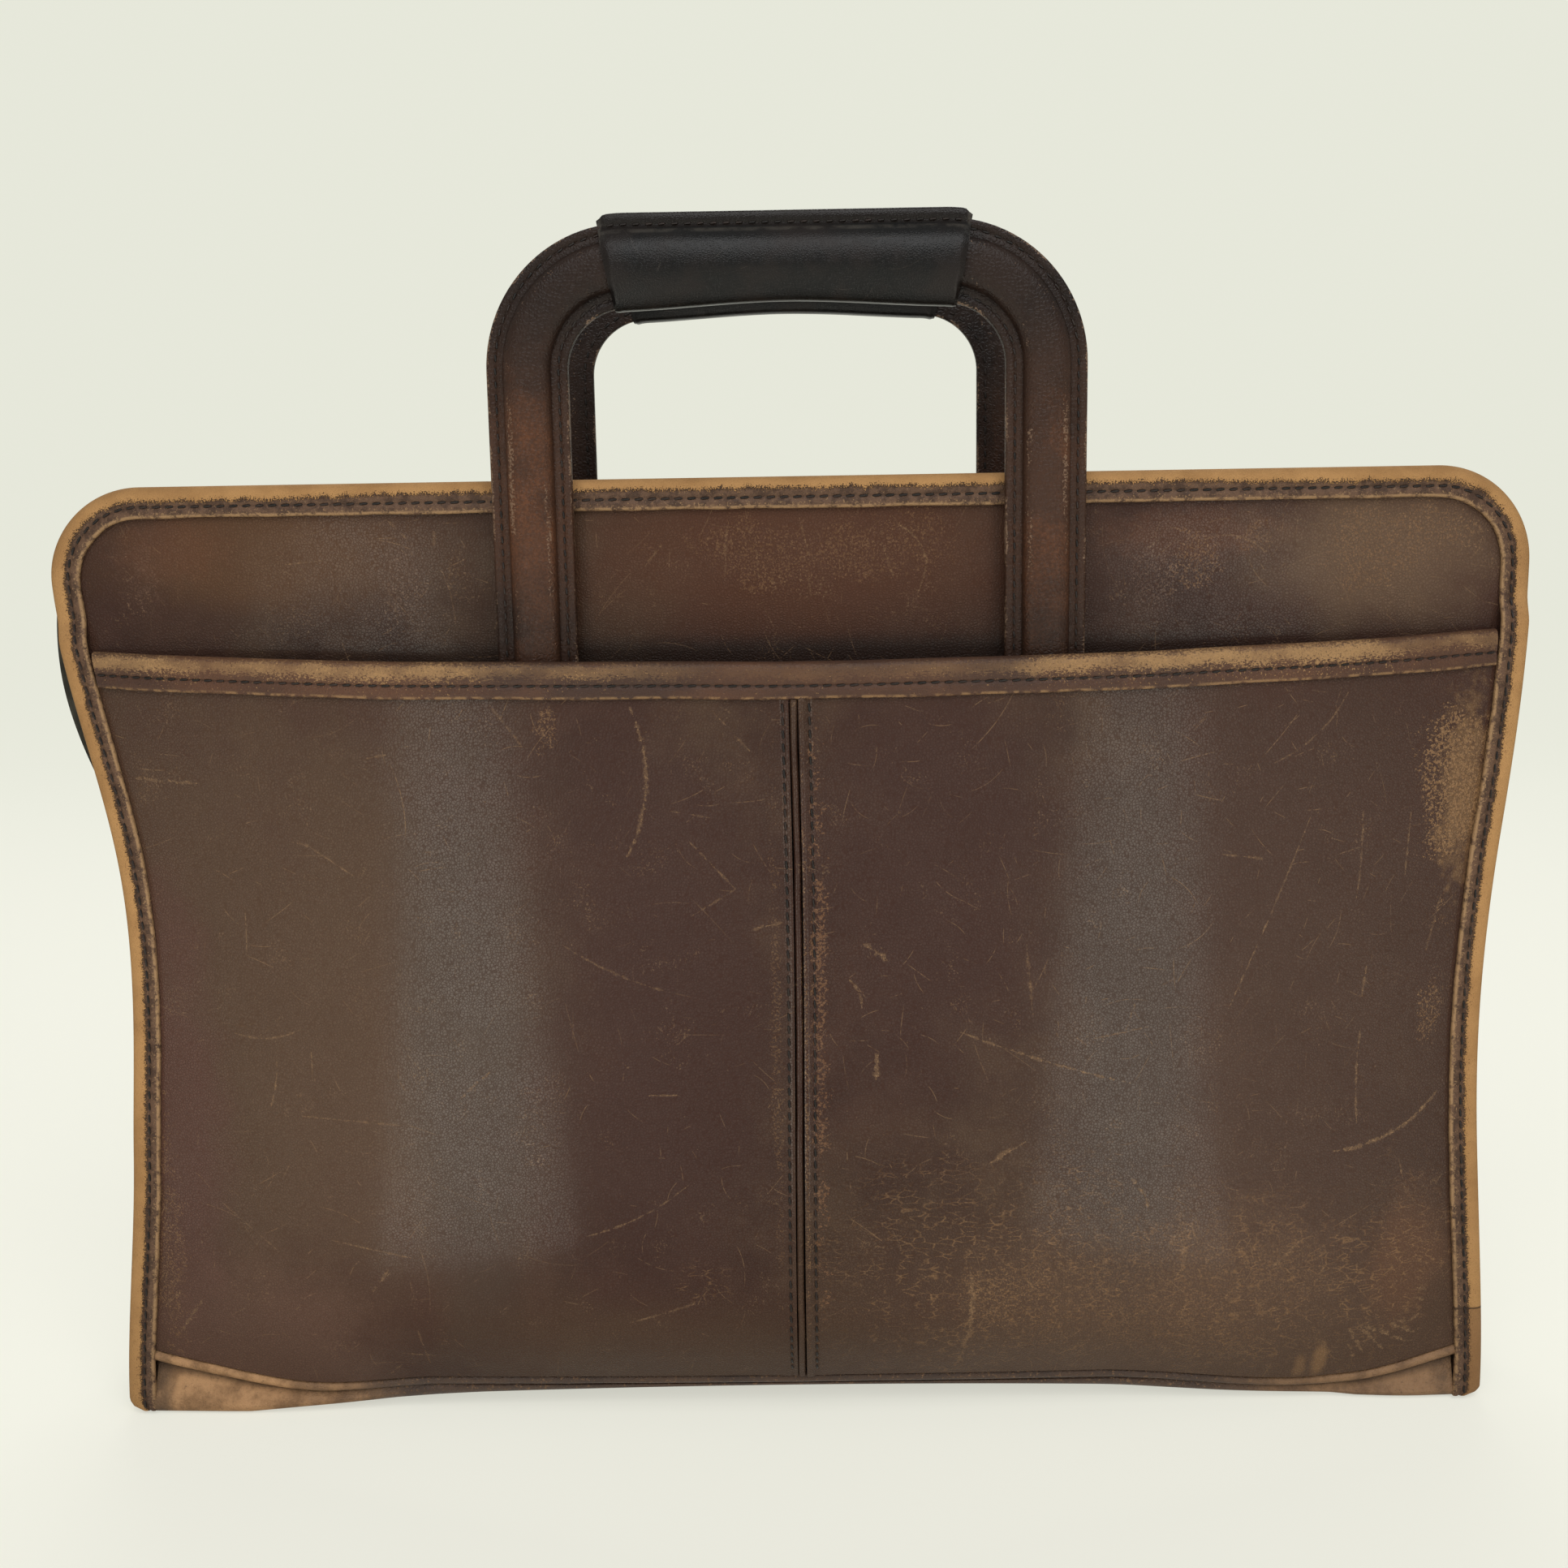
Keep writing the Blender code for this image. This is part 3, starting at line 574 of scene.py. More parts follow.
@dataclass(frozen=True)
class Thread:
    """Waxed thread sewn in short slanted stitches."""

    pitch: float = 3.8 * MM
    length: float = 2.8 * MM
    radius: float = 0.37 * MM
    slant: float = 7.0
    half: tuple[Point, ...] = ((-1, 0.5, -0.9), (-0.74, 0.95, 0.2), (0, 1.05, 0.55))

    def sew(self, shape: Shape, line: Line) -> None:
        """Adds a row of stitches along a line.

        Args:
            shape: The shape that takes the stitches.
            line: Points on the leather, each with the way out of it.
        """
        lengths = [0.0]
        for (a, _), (b, _) in zip(line, line[1:]):
            lengths.append(lengths[-1] + (b - a).length)
        count = max(1, round(lengths[-1] / self.pitch))
        part = 0
        for i in range(count):
            place = lengths[-1] * (i + 0.5) / count
            while part < len(line) - 2 and lengths[part + 1] < place:
                part += 1
            share = (place - lengths[part]) / max(1e-9, lengths[part + 1] - lengths[part])
            (a, up_a), (b, up_b) = line[part], line[part + 1]
            self.stitch(shape, a.lerp(b, share), b - a, up_a.lerp(up_b, share))

    def stitch(self, shape: Shape, middle: Vector, run: Vector, out: Vector) -> None:
        """Adds one stitch.

        Args:
            shape: The shape that takes it.
            middle: Its middle on the leather.
            run: Direction of the row.
            out: The way out of the leather.
        """
        out = out.normalized()
        run = (Matrix.Rotation(math.radians(self.slant), 3, out) @ run).normalized()
        side = out.cross(run)
        rings = []
        end = [(-share, girth, lift) for share, girth, lift in self.half[-2::-1]]
        for share, girth, lift in [*self.half, *end]:
            centre = middle + run * (share * self.length / 2) + out * (lift * self.radius)
            wide = girth * self.radius
            rings.append([tuple(centre + (side * u + out * v) * wide) for u, v in circle(6)])
        shape.rod(rings)


class Flow:
    """A value in a node tree, to write formulas with."""

    def __init__(self, w: Wiring, socket: bpy.types.NodeSocket) -> None:
        """Keeps the socket that carries the value and the wiring that it belongs to."""
        self.w = w
        self.socket = socket

    def __add__(self, other: Value) -> Flow:
        """This value and another together."""
        return self.w.math("ADD", self, other)

    def __sub__(self, other: Value) -> Flow:
        """This value less another."""
        return self.w.math("SUBTRACT", self, other)

    def __rsub__(self, other: Value) -> Flow:
        """A number less this value."""
        return self.w.math("SUBTRACT", other, self)

    def __mul__(self, other: Value) -> Flow:
        """This value times another."""
        return self.w.math("MULTIPLY", self, other)

    def __truediv__(self, other: Value) -> Flow:
        """This value divided by another."""
        return self.w.math("DIVIDE", self, other)

    def __abs__(self) -> Flow:
        """This value without its sign."""
        return self.w.math("ABSOLUTE", self)

    def most(self, other: Value) -> Flow:
        """The larger of this value and another."""
        return self.w.math("MAXIMUM", self, other)


class Wiring:
    """A node tree with short ways to add and join nodes."""

    def __init__(self, tree: Tree, effects: Optional[Effects] = None) -> None:
        """Keeps the tree and the shared effects that it may use."""
        self.tree = tree
        self.effects = effects

    def node(self, kind: str, **settings: object) -> bpy.types.Node:
        """Adds a node and sets its properties."""
        made = self.tree.nodes.new(kind)
        column, row = len(self.tree.nodes) % 12, len(self.tree.nodes) // 12
        made.location = (180 * column, -160 * row)
        for key, value in settings.items():
            setattr(made, key, value)
        return made

    def feed(self, target: bpy.types.NodeSocket, source: Value) -> None:
        """Links a value into an input, or sets a plain value on it."""
        if isinstance(source, Flow):
            self.tree.links.new(source.socket, target)
        elif target.type == "RGBA" and len(source) == 3:
            target.default_value = (*source, 1.0)
        else:
            target.default_value = source

    def fed(self, kind: str, out: Key, inputs: dict[Key, Value], **settings: object) -> Flow:
        """Adds a node whose inputs are fed at once.

        Args:
            kind: Type of the node.
            out: The output that is wanted.
            inputs: What goes into its inputs.
            settings: Its properties.

        Returns:
            The output's value.
        """
        made = self.node(kind, **settings)
        for key, source in inputs.items():
            self.feed(made.inputs[key], source)
        return Flow(self, made.outputs[out])

    def math(self, kind: str, a: Value, b: Value = 0.0, clamp: bool = False) -> Flow:
        """Works out one number from two."""
        return self.fed("ShaderNodeMath", 0, {0: a, 1: b}, operation=kind, use_clamp=clamp)

    def vector(self, kind: str, a: Value, b: Value) -> Flow:
        """Works out one vector from two."""
        return self.fed("ShaderNodeVectorMath", 0, {0: a, 1: b}, operation=kind)

    def mix(self, share: Value, a: Value, b: Value) -> Flow:
        """Mixes two colours."""
        return self.fed("ShaderNodeMix", 2, {0: share, 6: a, 7: b}, data_type="RGBA")

    def ease(self, value: Value, low: Value, high: Value, start: float = 0, end: float = 1) -> Flow:
        """Maps a value that runs from low to high to one that runs from start to end, eased."""
        inputs = dict(enumerate((value, low, high, start, end)))
        return self.fed("ShaderNodeMapRange", 0, inputs, interpolation_type="SMOOTHSTEP")

    def cloud(self, place: Value, scale: Value, detail: float = 3.0, rough: float = 0.55) -> Flow:
        """Soft noise."""
        inputs = {"Vector": place, "Scale": scale, "Detail": detail, "Roughness": rough}
        return self.fed("ShaderNodeTexNoise", "Fac", inputs)

    def haze(self, place: Value, scale: Value) -> Flow:
        """Soft noise with three values, to bend places with."""
        return self.fed("ShaderNodeTexNoise", "Color", {"Vector": place, "Scale": scale})

    def cells(self, place: Value, scale: Value) -> Flow:
        """Distance to the nearest edge of a cell pattern."""
        inputs = {"Vector": place, "Scale": scale}
        return self.fed("ShaderNodeTexVoronoi", "Distance", inputs, feature="DISTANCE_TO_EDGE")

    def place(self) -> Flow:
        """The place on the piece, in metres."""
        return self.fed("ShaderNodeTexCoord", "Object", {})

    def painted(self, name: str) -> Flow:
        """A painted value of the mesh."""
        return self.fed("ShaderNodeAttribute", "Fac", {}, attribute_name=name)

    def split(self, value: Value, kind: str = "ShaderNodeSeparateXYZ") -> list[Flow]:
        """The three numbers of a vector or a colour."""
        made = self.node(kind)
        self.feed(made.inputs[0], value)
        return [Flow(self, out) for out in made.outputs]

    def join(self, x: Value, y: Value) -> Flow:
        """A vector from two numbers."""
        return self.fed("ShaderNodeCombineXYZ", 0, {0: x, 1: y})

    def effect(self, name: str, place: Value, **values: Value) -> list[Flow]:
        """Places a shared effect.

        Args:
            name: Name of the effect.
            place: The place on the piece.
            values: Its other inputs.

        Returns:
            All its outputs.
        """
        made = self.node("ShaderNodeGroup", node_tree=getattr(self.effects, name))
        for key, value in {"Vector": place, **values}.items():
            self.feed(made.inputs[key], value)
        return [Flow(self, out) for out in made.outputs]

    def use(self, name: str, place: Value, **values: Value) -> Flow:
        """Places a shared effect for its first output."""
        return self.effect(name, place, **values)[0]


class Effects:
    """Shader effects that several finishes share, each built once as a node group."""

    def begin(self, name: str, **inputs: float) -> list:
        """Starts a node group.

        Args:
            name: Name of the effect.
            inputs: Its number inputs with their starting values, after its place.

        Returns:
            The wiring, the place, then each number.
        """
        tree = bpy.data.node_groups.new(name, "ShaderNodeTree")
        tree.interface.new_socket("Vector", in_out="INPUT", socket_type="NodeSocketVector")
        for title, value in inputs.items():
            made = tree.interface.new_socket(title, in_out="INPUT", socket_type="NodeSocketFloat")
            made.default_value = value
        w = Wiring(tree)
        source = w.node("NodeGroupInput").outputs
        return [w, *(Flow(w, source[title]) for title in ("Vector", *inputs))]

    def end(self, w: Wiring, **outputs: Flow) -> Tree:
        """Gives a node group its outputs."""
        for title in outputs:
            w.tree.interface.new_socket(title, in_out="OUTPUT", socket_type="NodeSocketFloat")
        result = w.node("NodeGroupOutput")
        for title, value in outputs.items():
            w.feed(result.inputs[title], value)
        return w.tree

    @cached_property
    def grain(self) -> Tree:
        """Pebbled grain: its height, and the creases between pebbles."""
        w, place, scale = self.begin("grain", Scale=900.0)
        shift = w.vector("SUBTRACT", w.haze(place, scale * 0.5), (0.5, 0.5, 0.5))
        shift = w.vector("MULTIPLY", shift, (0.0007, 0.0007, 0.0007))
        pebbles = w.cells(w.vector("ADD", place, shift), scale)
        fine = w.cloud(place, scale * 1.7, 3.0, 0.65)
        height = w.ease(pebbles, 0.0, 0.32) * 0.6 + fine * 0.4
        return self.end(w, Height=height, Creases=w.ease(pebbles, 0.02, 0.20, 1.0, 0.0))

    @cached_property
    def strokes(self) -> Tree:
        """Short scattered scratches, one to a cell, each turned and bowed its own way.

        Two nodes are made before what goes into them. The renderer works through nodes in the order in
        which they were made, so this puts the effect off, and large shaders still fit into its stack.
        """
        inputs = {"Scale": 40.0, "Amount": 0.5, "Width": 0.012, "Length": 0.42}
        w, place, scale, amount, width, length = self.begin("strokes", **inputs)
        x, y, z = w.split(place)
        joined = w.node("ShaderNodeCombineXYZ")
        w.feed(joined.inputs["X"], x + y * 0.9)
        w.feed(joined.inputs["Y"], z)
        flat = Flow(w, joined.outputs[0])
        cell = w.node("ShaderNodeTexVoronoi", voronoi_dimensions="2D")
        w.feed(cell.inputs["Vector"], flat)
        w.feed(cell.inputs["Scale"], scale)
        turn, bend, chance = w.split(Flow(w, cell.outputs["Color"]), "ShaderNodeSeparateColor")
        turned = w.node("ShaderNodeVectorRotate", rotation_type="Z_AXIS")
        w.feed(turned.inputs["Vector"], w.vector("SUBTRACT", flat, Flow(w, cell.outputs["Position"])))
        w.feed(turned.inputs["Angle"], turn * 6.28)
        side, run, _ = w.split(Flow(w, turned.outputs[0]))
        side, run = side * scale, run * scale
        side = side + (bend - 0.5) * (run * run)
        inside = w.ease(abs(run) / (length * (bend + 0.25)), 0.5, 1.0, 1.0, 0.0)
        thin = w.ease(abs(side) / width, 0.3, 1.0, 1.0, 0.0)
        broken = w.ease(w.cloud(place, 700.0, 3.0, 0.7), 0.36, 0.56)
        shown = w.math("LESS_THAN", chance, amount)
        return self.end(w, Mask=thin * inside * (shown * broken))

    @cached_property
    def crackle(self) -> Tree:
        """Fine cracks in dry leather, drawn out sideways and broken up."""
        w, place, scale, fineness = self.begin("crackle", Scale=620.0, Fineness=0.10)
        shift = w.vector("MULTIPLY", w.haze(place, 150.0), (0.0024, 0.0024, 0.0024))
        drawn = w.vector("MULTIPLY", w.vector("ADD", place, shift), (0.36, 0.36, 1.0))
        thin = w.ease(w.cells(drawn, scale), 0.0, fineness, 1.0, 0.0)
        return self.end(w, Mask=thin * w.ease(w.cloud(place, 260.0, 5.0, 0.75), 0.44, 0.60))

    @cached_property
    def mark(self) -> Tree:
        """One scratch between two places on a face, bowed to one side."""
        inputs = {"Start_X": 0.0, "Start_Z": 0.0, "End_X": 0.1, "End_Z": 0.1, "Bow": 0.0, "Width": 0.001}
        w, place, x0, z0, x1, z1, bow, width, rough = self.begin("mark", **inputs, Rough=0.5)
        x, _, z = w.split(place)
        dx, dz, px, pz = x1 - x0, z1 - z0, x - x0, z - z0
        square = dx * dx + dz * dz
        share = w.math("DIVIDE", px * dx + pz * dz, square, True)
        hump = share * (1.0 - share) * 4.0
        reach = bow * hump / w.math("SQRT", square)
        ex = px - share * dx + reach * dz
        ez = pz - share * dz - reach * dx
        away = w.math("SQRT", ex * ex + ez * ez)
        width = width * w.ease(hump, 0.0, 0.5, 0.3, 0.62) * w.ease(rough, 0.38, 0.64, 0.02, 1.45)
        return self.end(w, Mask=w.ease(away / width, 0.25, 1.0, 1.0, 0.0))

    @cached_property
    def patch(self) -> Tree:
        """A soft patch with a ragged outline, at a place on a face."""
        inputs = {"X": 0.0, "Z": 0.0, "Wide": 0.05, "High": 0.05, "Ragged": 0.5, "Rough": 0.5}
        w, place, middle, level, wide, high, ragged, rough = self.begin("patch", **inputs)
        x, _, z = w.split(place)
        u, v = (x - middle) / wide, (z - level) / high
        away = w.math("SQRT", u * u + v * v) + (rough - 0.5) * ragged
        return self.end(w, Mask=w.ease(away, 0.30, 1.05, 1.0, 0.0))

    @cached_property
    def fringe(self) -> Tree:
        """A ragged line along an edge, with short bristles across it."""
        inputs = {"Across": 0.0, "Along": 0.0, "Edge": 3.5, "Ragged": 1.0, "Soft": 0.3}
        w, _, across, along, edge, ragged, soft = self.begin("fringe", **inputs)
        flat = w.join(along * 2.3, across * 0.5)
        bristle = w.cloud(flat, 1.0, 3.0, 0.7)
        slow = w.cloud(flat, 0.12, 2.0)
        specks = w.cloud(w.vector("MULTIPLY", flat, (1.1, 5.0, 1.0)), 1.0, 2.0, 0.6)
        rough = slow * 0.7 + specks * 1.3 + bristle * 0.8 - 1.4
        line = across + rough * (ragged * 2.4)
        return self.end(w, Mask=w.ease(line, edge - soft, edge + soft, 1.0, 0.0))

    @cached_property
    def specks(self) -> Tree:
        """Fine specks where the dye has rubbed off, as many as the amount says."""
        w, place, scale, amount = self.begin("specks", Scale=1500.0, Amount=0.4)
        noise = w.cloud(place, scale, 3.0, 0.7)
        edge = 0.78 - amount * 0.42
        return self.end(w, Mask=w.ease(noise, edge, edge + 0.05))

    @cached_property
    def weave(self) -> Tree:
        """Twill of the zip tape: its height, and the dark lines between yarns."""
        w, place, pitch = self.begin("weave", Pitch=5200.0)
        x, y, z = w.split(place)
        first, second = (w.math("SINE", way * pitch) for way in (x + z + y, x + z - y))
        height = (first * second + 1.0) * 0.5
        return self.end(w, Height=height, Lines=w.ease(height, 0.05, 0.4, 1.0, 0.0))


class Wear(Enum):
    """Ways in which the dye of a hide has changed."""

    TINT = "another shade of dye"
    RUBBED = "fine tan specks"
    CRACKED = "fine tan cracks"
    FLAKED = "tan flakes"


class Mark(NamedTuple):
    """A scratch on a face, in millimetres: where it starts and ends, its width, and how it bows."""

    x: float
    z: float
    end_x: float
    end_z: float
    width: float
    strength: float
    bow: float = 0.0


class Patch(NamedTuple):
    """A worn or tinted area of a face: its place and half sizes in millimetres, and what shows there."""

    x: float
    z: float
    wide: float
    high: float
    colour: Colour
    strength: float
    wear: Wear = Wear.TINT
    ragged: float = 1.1


class Finish:
    """A material in the making, with its Principled shader."""

    def __init__(self, name: str, effects: Effects) -> None:
        """Starts an empty material of this name."""
        self.material = bpy.data.materials.new(name)
        self.material.use_nodes = True
        self.w = Wiring(self.material.node_tree, effects)
        self.shader = self.material.node_tree.nodes["Principled BSDF"]
        self.place = self.w.place()

    def put(self, **values: Value) -> None:
        """Sets or links inputs of the shader, with underscores for spaces in their names."""
        for key, value in values.items():
            self.w.feed(self.shader.inputs[key.replace("_", " ")], value)

    def bump(self, height: Flow, depth: float) -> None:
        """Roughens the surface by a height from 0 to about 1, this deep in metres."""
        inputs = {"Strength": 1.0, "Distance": depth, "Height": height}
        self.put(Normal=self.w.fed("ShaderNodeBump", "Normal", inputs))


@dataclass(frozen=True)
class Recipe:
    """A finish that can be made; each kind paints its own."""

    name: str

    def make(self, effects: Effects) -> Material:
        """Builds the material with the shared effects."""
        finish = Finish(self.name, effects)
        self.paint(finish, finish.w, finish.place)
        return finish.material

    def paint(self, finish: Finish, w: Wiring, place: Flow) -> None:
        """Wires the material's colour, shine and relief.

        Args:
            finish: The material in the making.
            w: Its wiring.
            place: The place on the piece.
        """
        raise NotImplementedError


@dataclass(frozen=True)
class Hide(Recipe):
    """Dyed cowhide, polished by use and worn in places."""

    dark: Colour = (0.024, 0.010, 0.007)
    brown: Colour = (0.051, 0.023, 0.0155)
    olive: Colour = (0.067, 0.038, 0.0225)
    worn: Colour = (0.225, 0.138, 0.076)
    rough: float = 0.46
    coat: float = 0.46
    scale: float = 1200.0
    depth: float = 0.00020
    scuffs: float = 0.55
    bared: float = 1.5
    shift: float = 0.0
    marks: tuple[Mark, ...] = ()
    patches: tuple[Patch, ...] = ()

    def paint(self, finish: Finish, w: Wiring, place: Flow) -> None:
        """Paints the dye, its patches and scratches, and polishes what is left of it."""
        moved = w.vector("ADD", place, (self.shift, self.shift * 0.7, self.shift * 1.3))
        slow = w.cloud(w.vector("MULTIPLY", moved, (1.0, 1.0, 0.55)), 11.0, 4.0, 0.55)
        tint = w.mix(w.ease(slow, 0.38, 0.62), self.brown, self.olive)
        middle = w.cloud(moved, 46.0, 6.0, 0.62)
        close = w.cloud(moved, 230.0, 5.0, 0.65)
        tint = w.mix(w.ease(middle, 0.34, 0.66, 0.55, 0.0), tint, self.dark)
        height, creases = w.effect("grain", moved, Scale=self.scale)
        for patch in self.patches:
            small = min(patch.wide, patch.high) < 15
            tint = self.lay(finish, tint, patch, close if small else middle)
        rubs = w.ease(w.cloud(moved, 75.0, 5.0, 0.65), 0.44, 0.68, 0.12, 0.55)
        tint = w.mix(w.use("specks", moved, Amount=rubs) * 0.34, tint, self.worn)
        # Painted shade: the creases between the pebbles of the grain are darkened.
        tint = w.mix(creases * 0.26, tint, self.dark)
        worn = self.scratched(finish, moved)
        dull = w.ease(middle, 0.3, 0.7, self.rough - 0.05, self.rough + 0.07)
        finish.put(Base_Color=w.mix(worn, tint, self.worn), Roughness=dull + worn * 0.25)
        polish = w.ease(creases, 0.0, 1.0, self.coat, self.coat * 0.2)
        polish = polish * w.ease(middle, 0.3, 0.65, 0.75, 1.0)
        polish = polish * w.ease(w.split(place)[2] + middle * 0.03, 0.028, 0.100, 0.10, 1.0)
        finish.put(Specular_IOR_Level=0.10, Coat_Weight=polish * (1.0 - worn), Coat_Roughness=0.17)
        finish.bump(height - worn * 0.5, self.depth)

    def scratched(self, finish: Finish, moved: Flow) -> Flow:
        """Gathers the scattered scratches and the marks.

        Args:
            finish: The material in the making.
            moved: The place shifted to this hide's own pattern.

        Returns:
            How much of the dye is scratched off.
        """
        w, place = finish.w, finish.place
        groups = w.ease(w.cloud(moved, 16.0, 3.0), 0.40, 0.62, 0.25, 1.0)
        worn: Optional[Flow] = None
        for scale, width, share in ((34.0, 0.007, 0.6), (62.0, 0.011, 0.8), (120.0, 0.020, 0.7)):
            lines = w.use("strokes", moved, Scale=scale, Width=width, Amount=self.scuffs * share)
            worn = worn.most(lines) if worn else lines
        worn = worn * groups * 0.52
        ragged = w.cloud(place, 520.0, 3.0, 0.7)
        specks = w.ease(w.use("specks", place, Amount=0.62), 0.0, 1.0, 0.35, 1.0)
        for mark in self.marks:
            ends = {"Start_X": mark.x, "Start_Z": mark.z, "End_X": mark.end_x, "End_Z": mark.end_z}
            sizes = {key: size * MM for key, size in (ends | {"Bow": mark.bow, "Width": mark.width}).items()}
            line = w.use("mark", place, Rough=ragged, **sizes)
            worn = worn.most(line * specks * min(1.0, mark.strength * self.bared))
        return worn

    def lay(self, finish: Finish, tint: Flow, patch: Patch, rough: Flow) -> Flow:
        """Lays one patch over a colour.

        Args:
            finish: The material in the making.
            tint: The colour so far.
            patch: The patch.
            rough: The noise that frays its outline.

        Returns:
            The colour with the patch on it.
        """
        w, place = finish.w, finish.place
        sizes = {"X": patch.x * MM, "Z": patch.z * MM, "Wide": patch.wide * MM, "High": patch.high * MM}
        mask = w.use("patch", place, Ragged=patch.ragged, Rough=rough, **sizes)
        if patch.wear is Wear.RUBBED:
            mask = w.use("specks", place, Amount=mask * 0.62)
        elif patch.wear is Wear.CRACKED:
            mask = mask * w.use("crackle", place)
        elif patch.wear is Wear.FLAKED:
            mask = w.use("specks", place, Scale=1100.0, Amount=mask * 0.70)
        return w.mix(mask * patch.strength, tint, patch.colour)


@dataclass(frozen=True)
class BoundEdge(Recipe):
    """Binding whose roll has worn to tan suede, with dark bristles of dye beside its stitches."""

    tan: Colour = (0.372, 0.206, 0.082)
    deep: Colour = (0.262, 0.138, 0.053)
    fray: Colour = (0.040, 0.023, 0.014)
    strip: Colour = (0.108, 0.061, 0.038)
    grime: Colour = (0.057, 0.032, 0.021)
    rim: Colour = (0.27, 0.165, 0.084)
    joint: float = 30.3 * MM

    def paint(self, finish: Finish, w: Wiring, place: Flow) -> None:
        """Paints from the distance across and along the binding."""
        across, along = w.painted("across"), w.painted("along")
        wide, _, high = w.split(place)
        right = w.math("GREATER_THAN", wide, 0.0)
        soft = w.ease(w.cloud(place, 60.0, 5.0, 0.6), 0.35, 0.68)
        roll = w.mix(soft * 0.75, self.tan, self.deep)
        many = w.ease(across, 1.2, 4.6, 0.22, 0.5)
        dots = w.use("specks", place, Scale=1800.0, Amount=many)
        roll = w.mix(dots * 0.65, roll, (0.095, 0.048, 0.022))
        patched = right * w.math("LESS_THAN", high, self.joint)
        roll = w.mix(patched * 0.55, roll, (0.16, 0.082, 0.040))
        band = w.mix(w.ease(w.cloud(place, 260.0, 4.0, 0.7), 0.42, 0.6), self.strip, self.grime)
        worn = w.use("specks", place, Amount=w.ease(across, 5.8, 8.8, 0.34, 0.6))
        band = w.mix(worn * 0.7, band, self.rim)
        broken = w.ease(w.cloud(place, 420.0, 3.0, 0.65), 0.36, 0.56)
        band = w.mix(w.ease(across, 7.9, 8.6) * broken, band, self.rim)
        top = w.ease(high, 0.262, 0.282)
        inner = top * w.ease(abs(wide), 0.10, 0.17, 1.0, 0.0)
        reach = 4.7 - top * 0.6 - inner
        ragged = w.ease(top, 0.0, 1.0, 0.9, 1.7)
        strip = {"Across": across, "Along": along}
        tan = w.use("fringe", place, **strip, Edge=reach, Ragged=ragged, Soft=0.25)
        dark = w.use("fringe", place, **strip, Edge=reach + 0.45, Ragged=0.9, Soft=0.3)
        tint = w.mix(dark * 0.75, band, self.fray)
        tint = w.mix(w.ease(abs(across - 5.8), 0.08, 0.42, 0.12, 0.0), tint, self.fray)
        tint = w.mix(tan, tint, roll)
        step = w.ease(abs(high - self.joint), 0.0001, 0.0005, 0.8, 0.0)
        finish.put(Base_Color=w.mix(step * right, tint, self.fray))
        finish.put(Roughness=w.ease(tan, 0.0, 1.0, 0.46, 0.82), Specular_IOR_Level=0.16)
        grain = w.use("grain", place, Scale=1400.0)
        finish.bump(grain - dark * (1.0 - tan) * 1.2, 0.00012)


@dataclass(frozen=True)
class RimEdge(Recipe):
    """Binding over a pocket's mouth, its upper edge rubbed to ragged tan and its lower edge to a line."""

    brown: Colour = (0.086, 0.040, 0.023)
    dark: Colour = (0.046, 0.024, 0.017)
    tan: Colour = (0.310, 0.183, 0.083)
    gold: Colour = (0.330, 0.196, 0.088)

    def paint(self, finish: Finish, w: Wiring, place: Flow) -> None:
        """Paints from the distance below the mouth."""
        across, along = w.painted("across"), w.painted("along")
        stretched = w.vector("MULTIPLY", place, (0.5, 1.0, 1.0))
        tint = w.mix(w.ease(w.cloud(stretched, 40.0, 5.0, 0.6), 0.36, 0.64), self.brown, self.dark)
        outer = w.ease(abs(w.split(place)[0]), 0.02, 0.11, 0.13, 1.0)
        areas = w.ease(w.cloud(stretched, 34.0, 4.0, 0.65), 0.40, 0.62, 0.2, 1.0) * outer
        strip = {"Across": across, "Along": along * 0.35, "Soft": 0.5}
        crest = w.use("fringe", place, **strip, Edge=4.3, Ragged=2.6)
        above = w.use("fringe", place, **strip, Edge=0.9, Ragged=1.4)
        crest = crest * (1.0 - above * 0.8)
        tint = w.mix(crest * (areas * 0.9), tint, self.gold)
        many = areas * w.ease(across, 3.0, 9.0, 0.5, 0.2) + 0.25
        chips = w.use("specks", place, Amount=many)
        tint = w.mix(chips * 0.85, tint, self.tan)
        moved = w.vector("ADD", place, (0.4, 0.0, 0.0))
        specks = w.use("specks", moved, Scale=1800.0, Amount=0.46)
        tint = w.mix(specks * 0.7, tint, self.dark)
        broken = w.ease(w.cloud(place, 330.0, 3.0, 0.65), 0.4, 0.58)
        tint = w.mix(w.ease(across, 9.3, 9.9) * broken * 0.55, tint, self.tan)
        slit = w.ease(abs(across - 6.6), 0.08, 0.4, 0.35, 0.0)
        finish.put(Base_Color=w.mix(slit, tint, (0.014, 0.008, 0.006)))
        finish.put(Roughness=w.ease(chips, 0.0, 1.0, 0.46, 0.68), Specular_IOR_Level=0.2)
        finish.bump(w.use("grain", place, Scale=1100.0) - chips * 0.35, 0.00013)


